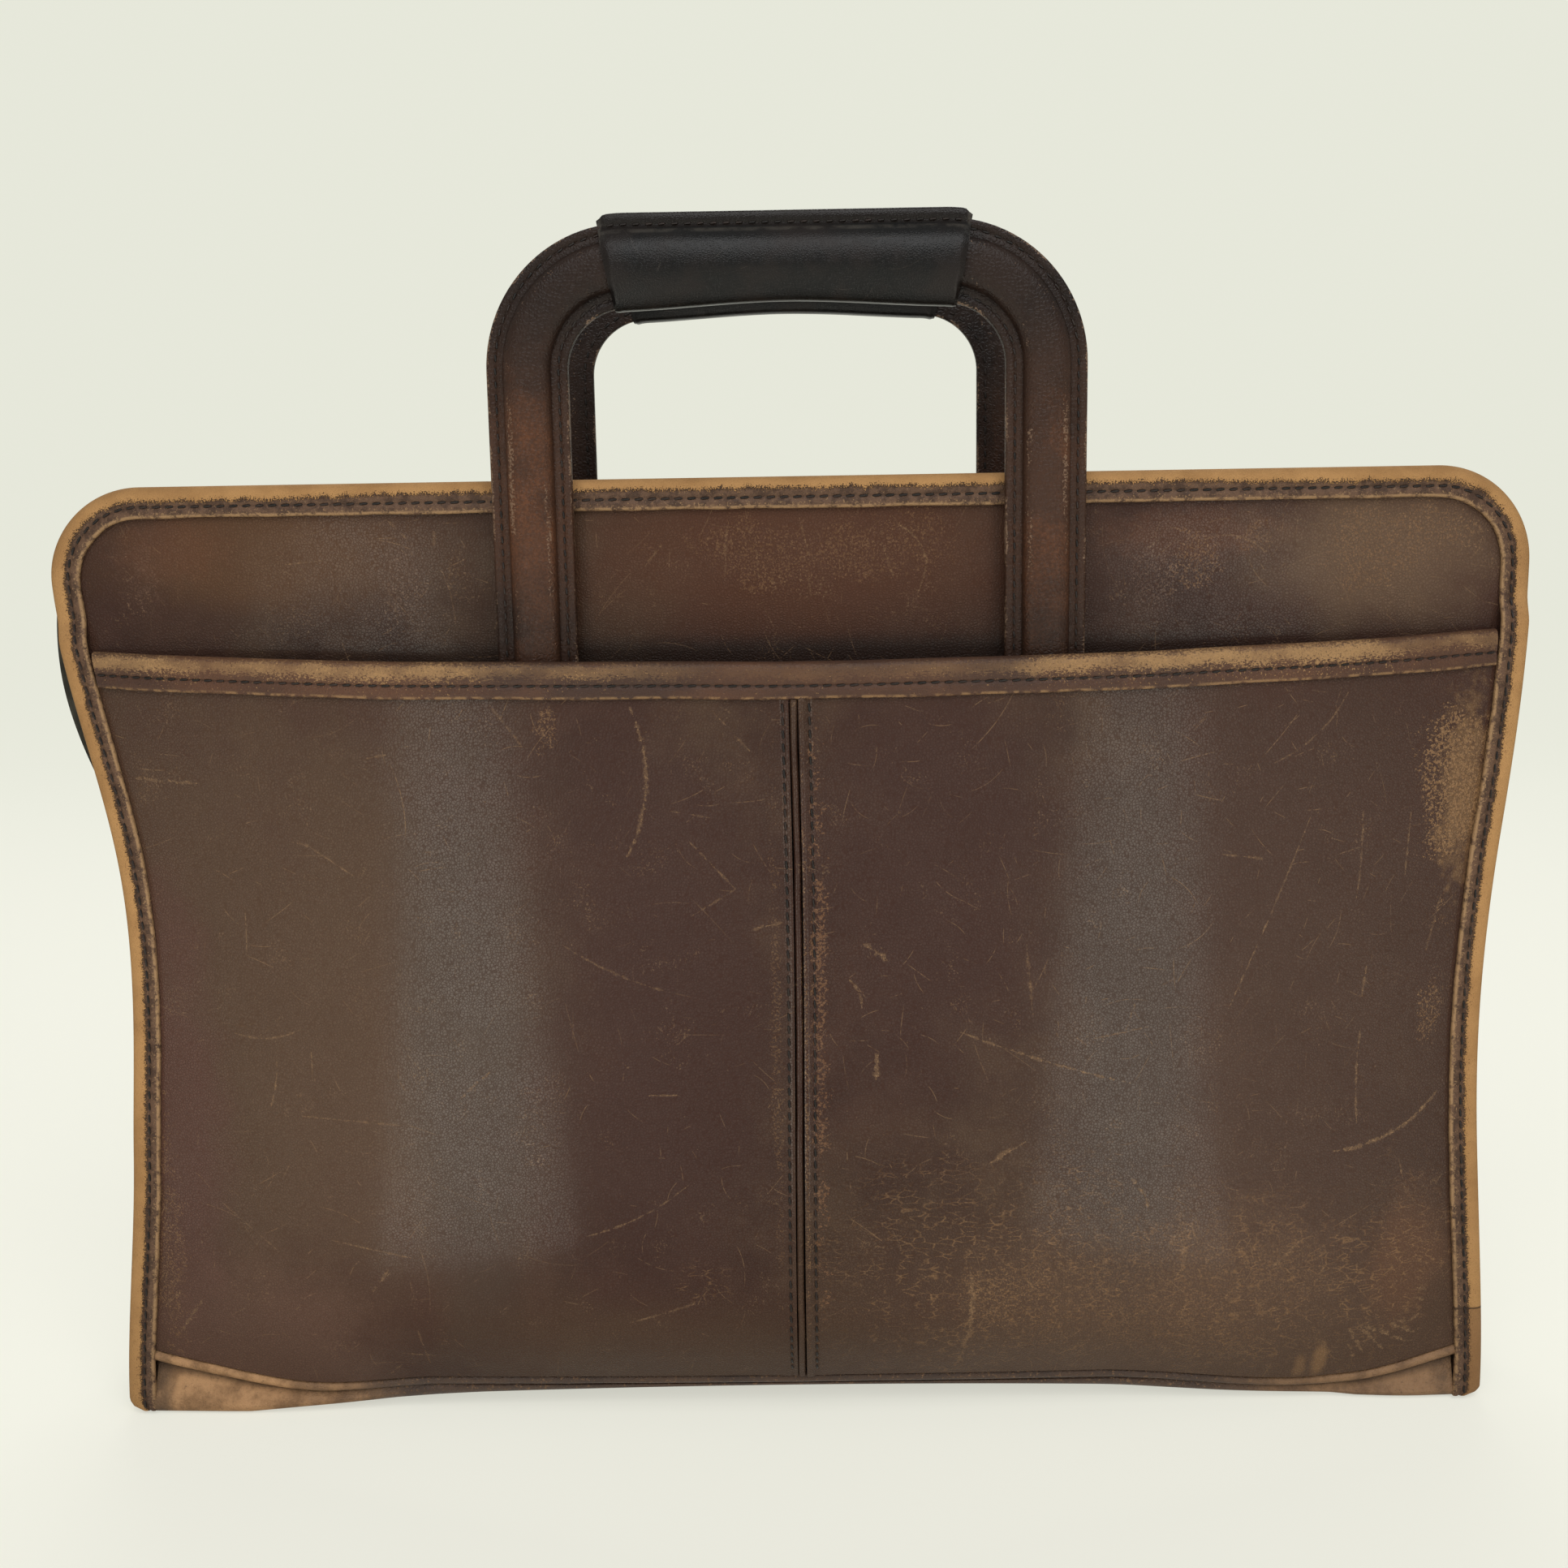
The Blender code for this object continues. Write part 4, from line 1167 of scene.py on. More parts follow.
@dataclass(frozen=True)
class StrapHide(Recipe):
    """Near-black strap leather worn brown and red low on its legs, pale on its ridge by wear and painted
    highlight.
    """

    dark: Colour = (0.008, 0.0052, 0.0045)
    brown: Colour = (0.019, 0.0105, 0.0075)
    leg: Colour = (0.039, 0.0195, 0.0125)
    red: Colour = (0.112, 0.043, 0.019)
    pale: Colour = (0.215, 0.140, 0.092)
    wear: float = 1.0

    def paint(self, finish: Finish, w: Wiring, place: Flow) -> None:
        """Paints from the height and the distance from the strap's middle."""
        across = abs(w.painted("across"))
        high = w.split(place)[2]
        low = w.ease(high, 0.296, 0.338, self.wear, 0.0) * w.ease(high, 0.238, 0.286, 0.4, 1.0)
        slow = w.cloud(place, 38.0, 5.0, 0.6)
        tint = w.mix(w.ease(slow, 0.36, 0.62), self.dark, self.brown)
        tint = w.mix(low * w.ease(slow, 0.3, 0.6, 0.6, 1.0), tint, self.leg)
        middle = low * w.ease(across, 5.6, 7.2, 1.0, 0.4)
        fuzz = w.ease(w.cloud(place, 1300.0, 3.0, 0.7), 0.42, 0.66)
        rubbed = w.ease(w.cloud(place, 26.0, 5.0, 0.65), 0.40, 0.58, 0.2, 1.0)
        tint = w.mix(rubbed * middle * (fuzz * 0.5 + 0.4), tint, self.red)
        drawn = w.vector("MULTIPLY", place, (1.0, 1.0, 0.3))
        groups = w.ease(w.cloud(drawn, 150.0, 4.0, 0.7), 0.40, 0.60, 0.25, 1.0)
        # Partly painted highlight: pale specks along the ridge's shoulders, kept up in the bends, stand for
        # sheen as well as wear.
        crest = w.ease(abs(across - 5.0), 0.2, 2.0, 0.75, 0.0) * low.most(0.6)
        many = crest.most(0.22).most(w.ease(across, 10.0, 11.3, 0.0, 0.85)) * groups
        tint = w.mix(w.use("specks", place, Amount=many) * 0.6, tint, self.pale)
        slit = w.ease(abs(across - 8.9), 0.08, 0.4, 0.15, 0.0)
        finish.put(Base_Color=w.mix(slit, tint, (0.008, 0.006, 0.005)))
        finish.put(Roughness=w.ease(slow, 0.3, 0.7, 0.32, 0.44), Specular_IOR_Level=0.19)
        finish.bump(w.use("grain", place, Scale=900.0), 0.00014)


@dataclass(frozen=True)
class GripHide(Recipe):
    """Black grip leather, smooth and shiny from the hand, browner on its fin and grey at its folds."""

    black: Colour = (0.0045, 0.0045, 0.0045)
    brown: Colour = (0.010, 0.007, 0.006)
    fin: Colour = (0.0085, 0.0062, 0.0052)
    grey: Colour = (0.052, 0.046, 0.038)
    end: float = 51.4 * MM

    def paint(self, finish: Finish, w: Wiring, place: Flow) -> None:
        """Paints the black dye, with fine cross creases."""
        across = w.painted("across")
        slow = w.cloud(place, 55.0, 5.0, 0.6)
        tint = w.mix(w.ease(slow, 0.4, 0.68), self.black, self.brown)
        tint = w.mix(w.ease(across, 9.6, 10.4), tint, self.fin)
        near = abs(self.end - abs(w.split(place)[0]))
        # Grey folds: at the barrel's top edge and along the fin partly painted highlight, partly wear; at
        # the ends worn.
        fold = w.ease(abs(across - 8.9), 0.2, 0.9, 0.6, 0.0)
        fold = fold.most(w.ease(near, 0.0002, 0.0010, 0.8, 0.0))
        fold = fold.most(w.ease(across, 13.4, 14.1, 0.0, 0.3))
        tint = w.mix(fold * w.ease(w.cloud(place, 200.0, 4.0), 0.35, 0.62), tint, self.grey)
        folds = w.cloud(w.vector("MULTIPLY", place, (1.0, 0.4, 0.35)), 190.0, 4.0, 0.6)
        lines = w.use("strokes", place, Scale=90.0, Width=0.016, Amount=0.6)
        finish.put(Base_Color=w.mix(lines * 0.12, tint, (0.12, 0.10, 0.08)))
        finish.put(Roughness=w.ease(slow, 0.3, 0.7, 0.28, 0.40), Specular_IOR_Level=0.22)
        finish.bump(w.use("grain", place, Scale=1400.0) + folds * 0.6, 0.00006)


@dataclass(frozen=True)
class BaseHide(Recipe):
    """Base leather, brown under the case and scuffed to tan at its corners."""

    brown: Colour = (0.075, 0.042, 0.027)
    tan: Colour = (0.42, 0.238, 0.114)
    end: float = 202.5 * MM

    def paint(self, finish: Finish, w: Wiring, place: Flow) -> None:
        """Paints from how far out on the base a place lies."""
        wide = w.split(place)[0]
        slow = w.cloud(place, 70.0, 5.0, 0.62)
        left = w.ease(wide, -0.05, 0.05, 0.95, 0.52)
        corner = w.ease(abs(wide) + (slow - 0.5) * 0.05, 0.125, 0.165)
        chips = w.use("specks", place, Scale=800.0, Amount=0.45)
        share = (corner * left).most(chips * 0.5)
        tint = w.mix(w.ease(slow, 0.38, 0.64), self.brown, (0.055, 0.033, 0.024))
        blotches = w.ease(w.cloud(place, 130.0, 5.0, 0.65), 0.36, 0.66)
        tint = w.mix(share, tint, w.mix(blotches, self.tan, (0.22, 0.12, 0.055)))
        # Painted shade: darker near the ends, where the base meets the edge binding.
        close = w.ease(abs(wide), self.end - 0.006, self.end - 0.001, 0.0, 0.7)
        tint = w.mix(close * w.ease(slow, 0.35, 0.6), tint, (0.050, 0.032, 0.022))
        # Painted shadow: the top of the wall, just under the piping, is darkened.
        tint = w.mix(w.ease(w.painted("across"), 0.02, 0.34, 0.72, 0.0), tint, (0.040, 0.024, 0.016))
        dots = w.ease(w.cloud(place, 800.0, 3.0, 0.7), 0.6, 0.72, 0.0, 0.5)
        finish.put(Base_Color=w.mix(dots, tint, (0.07, 0.04, 0.025)))
        finish.put(Roughness=w.ease(share, 0.0, 1.0, 0.5, 0.78), Specular_IOR_Level=0.34)
        finish.bump(w.use("grain", place, Scale=1000.0), 0.00018)


@dataclass(frozen=True)
class Suede(Recipe):
    """The napped flesh side of leather."""

    pale: Colour = (0.125, 0.082, 0.052)
    dark: Colour = (0.066, 0.042, 0.028)

    def paint(self, finish: Finish, w: Wiring, place: Flow) -> None:
        """Paints soft nap and short fibres."""
        slow = w.cloud(place, 36.0, 5.0, 0.65)
        fibres = w.cloud(w.vector("MULTIPLY", place, (1.0, 1.0, 0.5)), 1500.0, 4.0, 0.7)
        tint = w.mix(w.ease(slow, 0.35, 0.65), self.pale, self.dark)
        finish.put(Base_Color=w.mix(w.ease(fibres, 0.35, 0.7, 0.0, 0.45), tint, self.dark))
        finish.put(Roughness=0.9, Specular_IOR_Level=0.2, Sheen_Weight=0.15, Sheen_Roughness=0.5)
        finish.bump(fibres, 0.00022)


@dataclass(frozen=True)
class ThreadFinish(Recipe):
    """Dark waxed thread."""

    dark: Colour = (0.007, 0.005, 0.004)
    brown: Colour = (0.020, 0.012, 0.009)

    def paint(self, finish: Finish, w: Wiring, place: Flow) -> None:
        """Paints dark wax over a fine twist."""
        twist = w.cloud(place, 2600.0, 2.0)
        finish.put(Base_Color=w.mix(w.ease(w.cloud(place, 130.0, 3.0), 0.4, 0.66), self.dark, self.brown))
        finish.put(Roughness=w.ease(twist, 0.3, 0.7, 0.4, 0.6), Specular_IOR_Level=0.35)
        finish.bump(twist, 0.00008)


@dataclass(frozen=True)
class TapeFinish(Recipe):
    """Cotton twill of the zip tape, dark olive and a little faded."""

    dark: Colour = (0.020, 0.019, 0.014)
    faded: Colour = (0.048, 0.045, 0.034)

    def paint(self, finish: Finish, w: Wiring, place: Flow) -> None:
        """Paints the yarns of the weave."""
        height, lines = w.effect("weave", place, Pitch=5200.0)
        tint = w.mix(w.ease(w.cloud(place, 90.0, 5.0, 0.6), 0.36, 0.66), self.dark, self.faded)
        finish.put(Base_Color=w.mix(lines * 0.6, tint, (0.008, 0.008, 0.006)))
        finish.put(Roughness=0.85, Specular_IOR_Level=0.2)
        finish.bump(height, 0.00012)


@dataclass(frozen=True)
class Brass(Recipe):
    """Zip brass, dulled in its hollows and rubbed bright on its faces."""

    bright: Colour = (0.62, 0.44, 0.19)
    dull: Colour = (0.26, 0.17, 0.075)

    def paint(self, finish: Finish, w: Wiring, place: Flow) -> None:
        """Paints tarnish and fine scratches."""
        tarnish = w.ease(w.cloud(place, 240.0, 5.0, 0.65), 0.4, 0.68)
        lines = w.use("strokes", place, Scale=420.0, Width=0.03, Amount=0.9)
        tint = w.mix(tarnish * 0.75, self.bright, self.dull)
        finish.put(Base_Color=w.mix(lines * 0.3, tint, self.bright))
        finish.put(Metallic=1.0, Roughness=w.ease(tarnish, 0.0, 1.0, 0.26, 0.48))
        finish.bump(w.cloud(place, 700.0, 4.0), 0.00006)


@dataclass(frozen=True)
class Fibre(Recipe):
    """Pressed fibre of the base board and the cores of the handles."""

    pale: Colour = (0.24, 0.185, 0.12)
    dark: Colour = (0.15, 0.11, 0.07)

    def paint(self, finish: Finish, w: Wiring, place: Flow) -> None:
        """Paints layered fibres."""
        strands = w.cloud(w.vector("MULTIPLY", place, (0.3, 1.0, 1.0)), 900.0, 5.0, 0.7)
        finish.put(Base_Color=w.mix(w.ease(strands, 0.36, 0.66), self.pale, self.dark))
        finish.put(Roughness=0.88, Specular_IOR_Level=0.2)
        finish.bump(strands, 0.00015)


class Wardrobe:
    """All finishes of the case, made once and handed out by name."""

    FRONT_MARKS = tuple(starmap(Mark, (
        (-195, 203, -175, 202, 1.2, 0.5), (-147, 185, -142, 184, 1.5, 0.45),
        (-142, 184, -127, 174, 0.6, 0.4), (-123, 210, -117, 211, 0.9, 0.35),
        (-169, 126, -148, 128, 0.7, 0.35, -2.1), (-156, 119, -159, 103, 0.7, 0.65, 0.7),
        (-145, 121, -145, 113, 0.7, 0.5), (-149, 101, -117, 99, 0.7, 0.35),
        (-100, 108, -91, 116, 0.9, 0.35), (-86, 225, -77, 213, 0.9, 0.3),
        (-46, 224, -48, 181, 1.5, 0.5, 5.1), (-22, 222, -12, 211, 1.0, 0.35),
        (-35, 194, -24, 192, 0.7, 0.4), (-30, 185, -17, 171, 0.7, 0.35), (-17, 171, -30, 163, 0.7, 0.4),
        (-12, 159, -4, 161, 1.3, 0.5), (-68, 155, -31, 139, 0.8, 0.3, -2.1),
        (-44, 109, -35, 109, 0.6, 0.5), (-33, 81, -64, 65, 0.7, 0.45, 2.1),
        (-52, 37, -30, 44, 0.7, 0.4), (-194, 28, -186, 39, 1.5, 0.5), (-199, 36, -193, 41, 1.4, 0.3),
        (-143, 62, -117, 57, 0.6, 0.45), (-177, 72, -160, 58, 0.6, 0.35),
        (-130, 46, -125, 53, 1.7, 0.35), (-123, 24, -113, 23, 0.7, 0.5), (-117, 33, -115, 20, 0.6, 0.4),
        (-128, 15, -124, 19, 0.8, 0.45), (20, 154, 27, 149, 1.7, 0.5), (67, 153, 69, 132, 1.1, 0.35),
        (15, 144, 19, 135, 0.9, 0.4, 1.1), (23, 122, 23, 113, 1.7, 0.65),
        (48, 127, 98, 110, 0.9, 0.55, -0.9), (99, 134, 96, 125, 1.0, 0.5),
        (87, 124, 103, 127, 0.6, 0.4), (67, 93, 57, 87, 1.8, 0.65), (99, 80, 104, 70, 1.4, 0.45, 1.1),
        (51, 52, 47, 17, 2.2, 0.5, 1.7), (160, 224, 138, 204, 0.7, 0.4, 2.7),
        (150, 188, 125, 127, 0.6, 0.5, 0.6), (124, 178, 137, 176, 0.8, 0.4),
        (166, 190, 165, 163, 0.8, 0.35, 0.6), (181, 188, 180, 169, 0.7, 0.4),
        (192, 162, 188, 145, 0.8, 0.35), (169, 142, 168, 133, 0.8, 0.55),
        (168, 123, 168, 93, 0.8, 0.5, -0.8), (161, 85, 194, 101, 1.5, 0.7, -4.1),
        (182, 81, 185, 69, 0.7, 0.45), (152, 58, 142, 49, 1.0, 0.4), (168, 27, 174, 17, 1.6, 0.6),
        (168, 22, 171, 16, 1.5, 0.5), (172, 27, 180, 18, 1.7, 0.65), (172, 27, 187, 20, 1.7, 0.7, 0.6),
        (182, 27, 189, 23, 1.6, 0.6), (189, 23, 193, 25, 1.3, 0.5), (183, 28, 188, 27, 2.2, 0.6),
        (188, 27, 192, 30, 1.3, 0.5), (189, 35, 194, 33, 1.4, 0.55), (190, 38, 193, 37, 1.2, 0.5),
    )))
    BACK_MARKS = tuple(starmap(Mark, (
        (62, 205, 58, 168, 1.2, 0.5, 3.5), (-150, 110, -118, 96, 1.2, 0.6, 3.0),
        (132, 92, 150, 78, 0.9, 0.5, -1.0), (-60, 130, -20, 118, 0.7, 0.5, 1.0),
        (20, 60, 26, 38, 1.2, 0.5, -0.5), (-172, 178, -160, 190, 0.8, 0.45, 1.0),
        (104, 160, 122, 150, 0.7, 0.4, 0.6), (-96, 64, -84, 46, 1.0, 0.4, 0.8),
    )))
    STRIP_MARKS = tuple(starmap(Mark, (
        (-116, 277, -111, 272, 1.05, 0.3), (-103, 274, -103, 270, 1.12, 0.34),
        (-148, 265, -136, 266, 0.52, 0.38), (-101, 262, -98, 247, 0.6, 0.3, 0.7),
        (-37, 269, -42, 263, 0.83, 0.34), (-10, 272, -9, 259, 0.83, 0.34), (3, 276, 6, 264, 0.83, 0.34),
        (5, 262, 6, 253, 0.75, 0.3), (31, 274, 37, 254, 1.05, 0.42, 5.1),
        (27, 268, 30, 259, 0.83, 0.34), (-18, 274, -19, 258, 0.75, 0.26),
        (120, 268, 138, 264, 0.9, 0.38, 2.9), (158, 276, 164, 267, 0.52, 0.38),
        (201, 265, 198, 261, 0.6, 0.34),
    )))

    def __init__(self) -> None:
        """Makes the shared effects; finishes follow as they are asked for."""
        self.effects = Effects()
        self.kept: dict[str, Material] = {}

    def get(self, finish: Recipe) -> Material:
        """The material of a finish, made the first time it is asked for."""
        if finish.name not in self.kept:
            self.kept[finish.name] = finish.make(self.effects)
        return self.kept[finish.name]

    @property
    def flesh(self) -> Material:
        """The inner side of all leather."""
        return self.get(Suede("flesh_side"))

    @property
    def base(self) -> Material:
        """The leather of the base and its piping."""
        return self.get(BaseHide("base_leather_scuffed"))

    @property
    def brass(self) -> Material:
        """The metal of the zip."""
        return self.get(Brass("zip_brass_worn"))

    @property
    def keeper(self) -> Material:
        """The leather of the keepers and stops."""
        return self.get(Hide("keeper_hide", rough=0.55, scuffs=0.3, shift=5.0))

    @property
    def gusset(self) -> Material:
        """The soft leather of the gussets."""
        dark, brown, olive = (0.026, 0.016, 0.012), (0.050, 0.030, 0.022), (0.046, 0.032, 0.022)
        return self.get(Hide("gusset_leather_soft", dark, brown, olive, rough=0.5, shift=2.4))

    def panel(self, face: Face) -> Material:
        """The main panel's hide, red-brown and scratched below the handle, with painted shade above the rim.
        """
        red, tan = (0.120, 0.047, 0.022), (0.235, 0.128, 0.060)
        patches = (
            Patch(0, 264, 96, 32, (0.086, 0.034, 0.017), 0.7, Wear.TINT, 0.6),
            Patch(-150, 268, 60, 22, (0.112, 0.055, 0.025), 0.6),
            Patch(-180, 270, 22, 12, red, 0.35),
            Patch(118, 270, 34, 10, red, 0.4),
            Patch(10, 266, 56, 18, tan, 0.34, Wear.RUBBED, 2.6),
            # Painted shade: a dark band just above the pocket's rim, where the rim shades the panel; the
            # back panel has it too.
            Patch(0, 235, 240, 9, (0.012, 0.008, 0.006), 0.78, Wear.TINT, 0.3),
            Patch(118, 262, 12, 15, tan, 0.45, Wear.RUBBED, 2.4),
            Patch(136, 268, 8, 8, tan, 0.45, Wear.RUBBED, 2.0),
            Patch(172, 262, 50, 28, (0.150, 0.094, 0.058), 0.65),
            Patch(176, 266, 38, 22, tan, 0.42, Wear.RUBBED, 2.2),
            Patch(-112, 258, 12, 22, (0.17, 0.105, 0.072), 0.38, Wear.RUBBED, 1.2),
            Patch(-190, 262, 9, 20, (0.16, 0.092, 0.065), 0.26, Wear.RUBBED, 1.2),
            Patch(106, 258, 13, 20, (0.17, 0.105, 0.072), 0.34, Wear.RUBBED, 1.2),
        )
        front = face is Face.FRONT
        recipe = Hide(
            f"panel_leather_{face.label}",
            scuffs=0.95,
            coat=0.38,
            shift=0.0 if front else 3.1,
            marks=self.STRIP_MARKS if front else (),
            patches=patches if front else patches[1:6],
        )
        return self.get(recipe)

    def pocket(self, face: Face, hand: Hand) -> Material:
        """A pocket half's hide; the right half is the more worn one."""
        tan = (0.235, 0.132, 0.062)
        # Painted reflection: olive stands for pale surroundings reflected at the outer sides and low down,
        # plum for the dark room in the middle.
        olive, plum_reflection = (0.086, 0.050, 0.030), (0.045, 0.0195, 0.0145)
        # Painted reflection: grey tints the leather under the lamps' sheen bands, so that the bands read
        # olive-grey.
        grey = (0.052, 0.037, 0.029)
        if hand is Hand.RIGHT:
            patches = (
                # Painted reflection: the first three patches lay the reflection zones of the outer side, low
                # down and the middle.
                Patch(150, 130, 96, 165, (0.061, 0.033, 0.023), 0.75),
                Patch(110, 20, 150, 62, (0.100, 0.060, 0.039), 0.75),
                Patch(40, 175, 44, 105, plum_reflection, 0.8),
                Patch(186, 48, 17, 28, (0.112, 0.056, 0.032), 0.75),
                Patch(182, 50, 24, 34, tan, 0.5, Wear.CRACKED, 1.4),
                # Painted reflection: grey under the sheen band.
                Patch(98, 130, 26, 120, grey, 0.6, Wear.TINT, 0.5),
                Patch(198, 194, 10, 36, (0.215, 0.122, 0.055), 0.55, Wear.TINT, 2.4),
                Patch(193, 196, 21, 46, tan, 0.85, Wear.FLAKED, 1.8),
                Patch(190, 125, 7, 16, tan, 0.6, Wear.RUBBED, 2.0),
                Patch(6.5, 130, 4.2, 135, (0.195, 0.098, 0.048), 0.6, Wear.FLAKED, 2.4),
                Patch(2.4, 120, 1.7, 150, tan, 0.6, Wear.RUBBED, 1.4),
                Patch(55, 50, 66, 50, tan, 0.62, Wear.CRACKED, 1.6),
                Patch(58, 42, 34, 15, tan, 0.4, Wear.RUBBED, 2.2),
                Patch(112, 40, 98, 46, tan, 0.25, Wear.RUBBED, 1.6),
                Patch(140, 38, 72, 44, tan, 0.55, Wear.CRACKED, 1.6),
                Patch(160, 16, 3.2, 9, tan, 0.7, Wear.TINT, 1.0),
                Patch(154, 13, 2.6, 5.5, tan, 0.5, Wear.TINT, 1.0),
            )
        else:
            patches = (
                # Painted reflection: the olive patches, at the outer side here and low down further on, and
                # the plum patch in the middle lay the reflection zones.
                Patch(-165, 130, 112, 165, olive, 0.8),
                # Painted reflection: grey under the sheen band.
                Patch(-98, 125, 26, 115, grey, 0.6, Wear.TINT, 0.5),
                Patch(-190, 90, 22, 110, (0.088, 0.040, 0.031), 0.7),
                Patch(-165, 25, 52, 40, (0.112, 0.060, 0.042), 0.65),
                Patch(-38, 140, 44, 130, plum_reflection, 0.85),
                Patch(-45, 22, 70, 30, olive, 0.6),
                Patch(-70, 218, 6, 11, tan, 0.5, Wear.RUBBED, 1.6),
                Patch(-196, 60, 10, 60, tan, 0.4, Wear.RUBBED, 2.2),
                Patch(-31, 50, 14, 8, tan, 0.45, Wear.CRACKED, 1.6),
                Patch(-6, 120, 3, 120, tan, 0.3, Wear.RUBBED, 2.0),
            )
        marks = self.FRONT_MARKS if face is Face.FRONT else self.BACK_MARKS
        recipe = Hide(
            f"pocket_leather_{face.label}_{hand.label}",
            scuffs=0.80 if hand is Hand.RIGHT else 0.55,
            shift=hand.value * 1.7 + face.value * 0.9,
            marks=tuple(mark for mark in marks if mark.x * hand.value > 0),
            patches=patches,
        )
        return self.get(recipe)


@dataclass
class Assembly:
    """A group of pieces on one body, and the finishes that they wear."""

    wardrobe: Wardrobe

    @property
    def prefix(self) -> str:
        """What the names of its pieces and nodes start with."""
        return ""

    @property
    def body(self) -> str:
        """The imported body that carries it."""
        return "case"

    def hang(self, piece: Piece, body: str, slot: str, *nodes: str) -> Piece:
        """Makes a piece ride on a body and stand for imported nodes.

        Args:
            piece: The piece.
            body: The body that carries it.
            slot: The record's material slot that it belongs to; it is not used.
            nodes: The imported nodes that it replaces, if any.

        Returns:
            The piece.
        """
        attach(piece, body)
        self.note(piece, slot, *nodes)
        return piece

    def note(self, piece: Piece, slot: str, *nodes: str) -> None:
        """Hides the imported nodes that a piece replaces, if any, and logs it."""
        if nodes:
            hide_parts(*nodes)
        log.info("%s: %d points", piece.name, len(piece.data.vertices))

    def dress(self, shape: Shape, part: str, slot: str, finish: Material, *nodes: str) -> Piece:
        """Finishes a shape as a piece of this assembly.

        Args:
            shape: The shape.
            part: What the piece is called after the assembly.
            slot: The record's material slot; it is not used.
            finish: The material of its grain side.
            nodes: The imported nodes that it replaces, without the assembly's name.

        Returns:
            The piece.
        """
        flesh = self.wardrobe.flesh if shape.flesh else None
        piece = shape.made(self.prefix + part, finish, flesh)
        return self.hang(piece, self.body, slot, *(self.prefix + node for node in nodes))

    def sew(self, thread: Thread, part: str, slot: str, *lines: Line) -> None:
        """Sews rows of stitches as one piece.

        Args:
            thread: The thread.
            part: What the piece is called after the assembly.
            slot: The record's material slot; it is not used.
            lines: Points on the leather, each with the way out of it.
        """
        rows = Shape()
        for line in lines:
            thread.sew(rows, line)
        self.dress(rows, part, slot, self.wardrobe.get(ThreadFinish("waxed_thread")))


